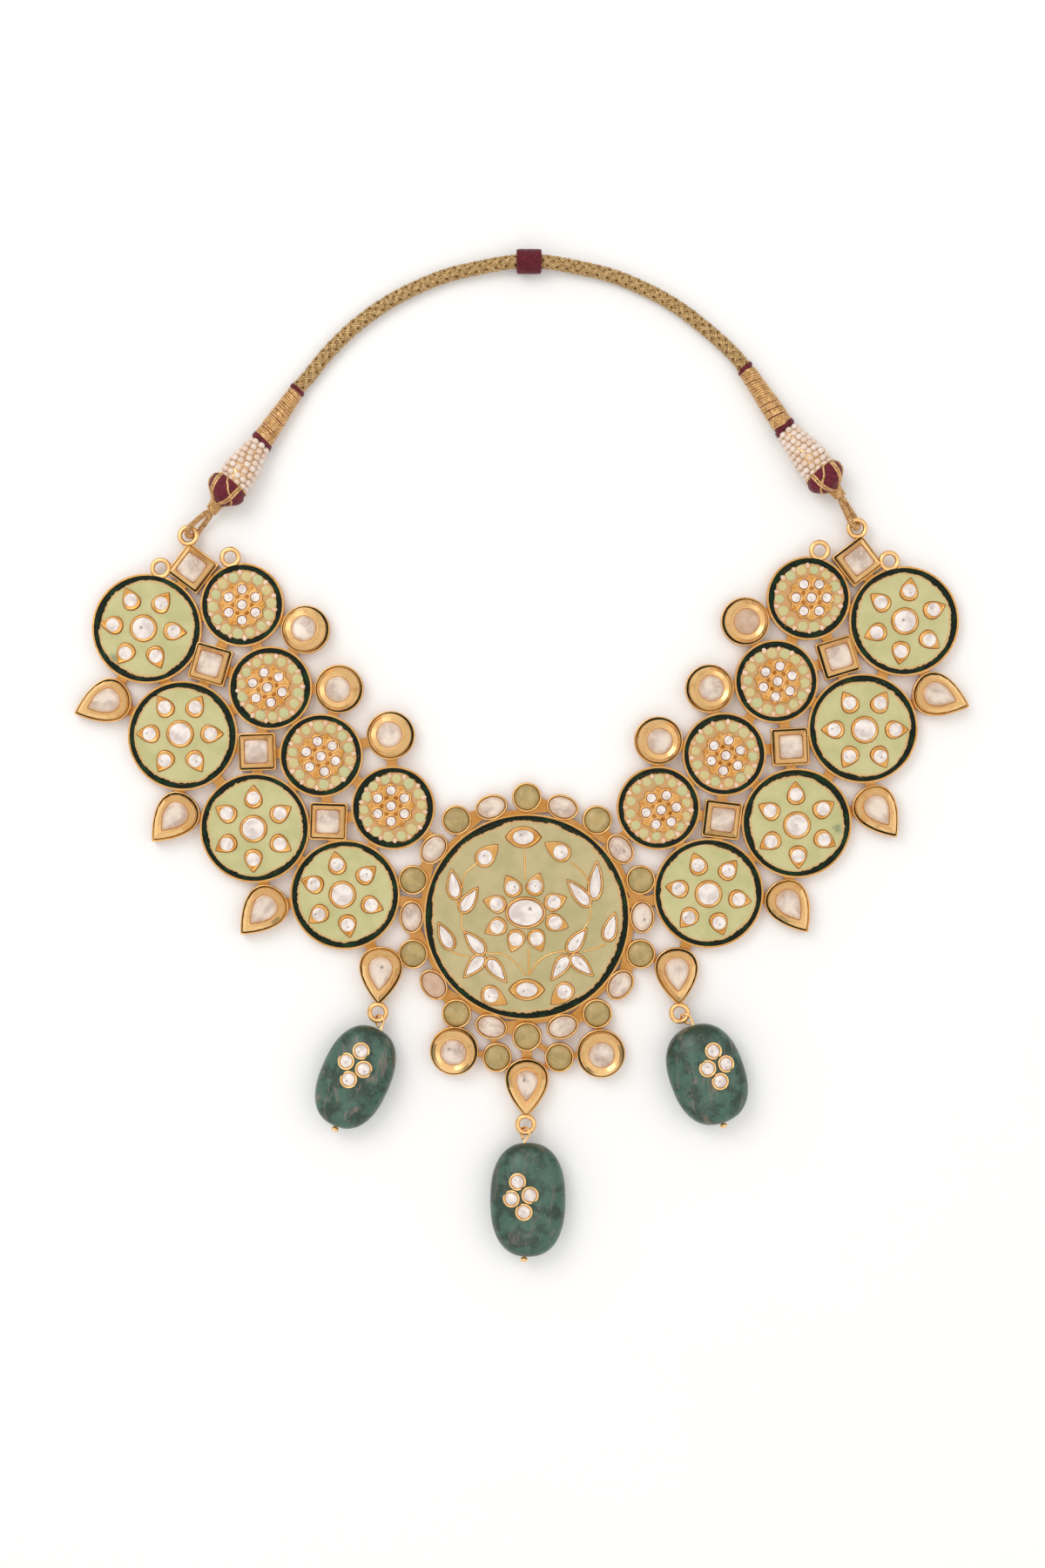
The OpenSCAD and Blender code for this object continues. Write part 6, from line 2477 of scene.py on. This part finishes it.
@dataclass
class BeadDrop:
    """A stone bead on a gold head pin, with four set studs on its face."""

    hang: Hang
    finishes: Finishes
    thick: float = 9.6
    bulge: float = 2.4
    pin_r: float = 0.3
    ball_r: float = 0.88
    ball_flat: float = 0.66
    neck: float = 1.55
    gap: float = 0.15
    stud_r: float = 2.0
    stud_places: tuple[tuple[float, float], ...] = ((1.74, 0), (-1.74, 0), (0, 1.06), (0, -1.06))

    def __post_init__(self) -> None:
        """Work out where the bead lies."""
        hang = self.hang
        self.root = HALO.drop_ring(hang.drop)
        self.bore = self.root + flat(RING_R + RING_WIRE_R + self.neck, hang.hang_dir)
        middle = self.bore + flat(hang.long / 2, hang.pin_dir)
        middle += flat(BEAD_WIDTH * hang.shift, hang.pin_dir + 90) + self.thick / 2 * UP
        self.at = Matrix.Translation(middle) @ Matrix.Rotation(
            math.radians(hang.pin_dir + 180 + hang.turn), 4, UP
        )
        self.rng = random.Random(50 + hang.drop)

    def build(self) -> list[Matrix]:
        """Build the bead and its pin.

        Returns:
            Frames of the studs on its face, for the studs' own piece.
        """
        self.build_bead()
        self.build_pin()
        return self.stud_seats()

    def build_bead(self) -> None:
        """Smooth bead with slightly uneven sides."""
        hang = self.hang
        work = Work()
        turn = self.at.to_3x3()
        axes = (
            turn @ Vector((0, hang.wide / 2, 0)),
            turn @ Vector((0, 0, self.thick / 2)),
            turn @ Vector((hang.long / 2, 0, 0)),
        )
        work.ball(self.at.translation, axes, 72, 60, 0, float(hang.drop), self.bulge)
        stone = SatinStone(
            (0.010, 0.042, 0.026), (0.040, 0.118, 0.084), (0.200, 0.155, 0.125),
            4.2, 0.30, hang.veined,
        ).material(f"{hang.name} green stone")
        piece = work.piece(f"{hang.name}_stone_bead", [stone])
        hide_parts(f"{hang.name}_bead")

    def build_pin(self) -> None:
        """Head pin: ball, shank through the bead, and loop round the ring."""
        hang = self.hang
        along, e = flat(1.0, hang.pin_dir), flat(1.0, hang.hang_dir)
        lean = math.sqrt(0.5) * flat(1.0, hang.hang_dir + 90) + math.sqrt(0.5) * UP
        bore = self.bore + self.thick / 2 * UP
        root = self.root + RING_Z * UP
        loop_x = RING_WIRE_R + self.pin_r + 2 * self.gap
        loop_y = RING_WIRE_R * math.sqrt(2) + self.pin_r + 2 * self.gap
        turn = []
        for k in range(23):
            a = math.radians(70 + 10 * k)
            x, y = RING_R + loop_x * math.cos(a), loop_y * math.sin(a)
            turn.append(root + x * e + y * lean)
        path = [bore + hang.long * along, bore, bore - self.pin_r * along, *turn]
        path.append(turn[-1] + 0.55 * (bore - turn[-1]))
        work = Work()
        work.tube(path, self.pin_r, 12, 0)
        half = self.ball_flat * self.ball_r
        ball = bore + (hang.long + 0.06 + half) * along
        axes = (self.ball_r * UP.cross(along), self.ball_r * UP, half * along)
        work.ball(ball, axes, 24, 14, 0)
        piece = work.piece(f"{hang.name}_head_pin", [self.finishes.wire])
        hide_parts(f"{hang.name}_pin")

    def stud_seats(self) -> list[Matrix]:
        """Frames of the four studs on the bead's face.

        Returns:
            The frames.
        """
        hang = self.hang
        half = hang.long / 2
        turn = math.radians(hang.group_turn)
        found = []
        for px, py in self.stud_places:
            u = self.stud_r * (hang.group[0] + px * math.cos(turn) - py * math.sin(turn))
            v = self.stud_r * (hang.group[1] + px * math.sin(turn) + py * math.cos(turn))
            share = (1 - (abs(u) / half) ** self.bulge) ** (1 / self.bulge)
            z = self.thick / 2 * share * math.sqrt(1 - (2 * v / (hang.wide * share)) ** 2)
            roll = math.atan(v * self.thick**2 / (hang.wide**2 * z))
            rise = 4 * share ** (self.bulge - 2) * math.hypot(v / hang.wide**2, z / self.thick**2)
            pitch = math.atan(math.copysign((abs(u) / half) ** (self.bulge - 1) / half / rise, u))
            at = self.at @ Matrix.Translation((u, -v, z)) @ Matrix.Rotation(roll, 4, "X")
            at = at @ Matrix.Rotation(pitch, 4, "Y")
            found.append(at)
        return found


@dataclass
class Studs:
    """Open wire rings with domed stones, on the faces of the beads."""

    finishes: Finishes
    ring_r: float = 1.78
    wire_r: float = 0.22
    wire_z: float = 0.32
    plate_z: float = 0.1
    plate_h: float = 0.16
    dome_r: float = 1.5
    dome_z: float = 0.12
    dome_h: float = 0.78
    open_angle: float = 26.0

    def build(self, seats: Sequence[Matrix]) -> None:
        """Build every stud.

        Args:
            seats: Frames on the beads' faces.
        """
        work = Work()
        rng = random.Random(61)
        for number, at in enumerate(seats):
            spin = math.degrees(math.atan2(at[1][0], at[0][0]))
            start = 135 - spin + rng.uniform(-25, 25) + (0 if number % 2 else 180)
            path = []
            for k in range(33):
                a = start + self.open_angle / 2 + (360 - self.open_angle) * k / 32
                path.append(at @ (flat(self.ring_r, a) + self.wire_z * UP))
            work.tube(path, self.wire_r, 10, 0)
            under = at.to_3x3()
            middle = at @ (self.plate_z * UP)
            plate = (flat(self.ring_r, 0), flat(self.ring_r, 90), self.plate_h * UP)
            work.ball(middle, tuple(under @ axis for axis in plate), 24, 6, 0)
            self.dome(work, at, 90.0 + number)
        piece = work.piece("bead_set_studs", [self.finishes.wire, self.finishes.stone])
        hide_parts("bead_studs")

    def dome(self, work: Work, at: Matrix, number: float) -> None:
        """Add a domed stone.

        Args:
            work: Piece that it is added to.
            at: Frame on the bead's face.
            number: The stone's own number.
        """
        rings, marks = [], []
        for k in range(10):
            a = math.radians(9.5 * k)
            share, z = math.cos(a), self.dome_z + self.dome_h * math.sin(a)
            rings.append([at @ (share * p + z * UP) for p in circle(self.dome_r, 24)])
            marks.append([(share * p.x, share * p.y, number) for p in circle(1.0, 24)])
        work.skin(rings, 1, marks)


# Carried solids

# Where one large field of each wing is smudged
SMUDGES = {Side.LEFT: (-95.0, 59.5), Side.RIGHT: (71.4, 20.4)}


@dataclass
class Dressing:
    """Finishes of the solids that stay as they are."""

    nodes: dict[str, bpy.types.Object]
    finishes: Finishes
    rim_w: float = 0.4
    border_w: float = 1.0

    def dress(self, node: str, finish: bpy.types.Material) -> None:
        """Give a carried solid its finish.

        Args:
            node: Its name.
            finish: The finish.
        """
        mesh = self.nodes[node].data
        if not mesh.materials:
            mesh.materials.append(finish)
        for i in range(len(mesh.materials)):
            mesh.materials[i] = finish

    def build(self) -> None:
        """Dress the frame, the enamels and the dark lines."""
        inside = self.rim_w + self.border_w
        sage = Enamel(
            (0.52, 0.43, 0.22), (0.44, 0.38, 0.18), (0.58, 0.46, 0.26),
            (Vector(),), MEDALLION_R - inside,
        )
        self.dress("collar_frame", self.finishes.gold)
        self.dress("medallion_enamel", sage.material("sage enamel"))
        self.dress("medallion_border", self.finishes.line)
        for wing in (LEFT, RIGHT):
            side = wing.side.value
            pale = Enamel(
                (0.56, 0.52, 0.26), (0.48, 0.46, 0.21), (0.60, 0.45, 0.25),
                tuple(wing.large(i) for i in range(4)), wing.large_r - inside,
                smudges=(SMUDGES[wing.side],),
            )
            blush = Enamel(
                (0.59, 0.31, 0.12), (0.53, 0.33, 0.14), (0.51, 0.23, 0.07),
                tuple(wing.small(i) for i in range(4)), wing.small_r - inside,
            )
            self.dress(f"{side}_large_enamels", pale.material(f"{side} pistachio enamel"))
            self.dress(f"{side}_small_enamels", blush.material(f"{side} blush enamel"))
            self.dress(f"{side}_large_borders", self.finishes.line)
            self.dress(f"{side}_small_borders", self.finishes.line)


def end_ring(wing: Wing) -> Vector:
    """Middle of the ring that a wing's cord loop runs through."""
    reach = wing.square_w / 2 * math.sqrt(2) + RING_R - RING_WIRE_R / 2
    return wing.end_square() + flat(reach, wing.ring_dir)


def main(nodes: dict[str, bpy.types.Object]) -> None:
    """Build the whole scene in order.

    Args:
        nodes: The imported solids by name.
    """
    logging.basicConfig(level=logging.INFO, format="%(message)s")
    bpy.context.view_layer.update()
    Studio().build()
    finishes = Finishes()
    ends = [
        CordEnd(Side.LEFT, LEFT_STATIONS, finishes),
        CordEnd(Side.RIGHT, RIGHT_STATIONS, finishes),
    ]
    for end, wing in zip(ends, (LEFT, RIGHT)):
        end.build(end_ring(wing))
    NeckCord(finishes).build(ends)
    Dressing(nodes, finishes).build()
    Medallion(finishes).build()
    for wing in (LEFT, RIGHT):
        Discs(wing, finishes).build()
        HighSettings(wing, finishes).build()
    seats = [at for hang in HANGS for at in BeadDrop(hang, finishes).build()]
    Studs(finishes).build(seats)


if __name__ == "__main__":
    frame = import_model()
    main(frame["nodes"])
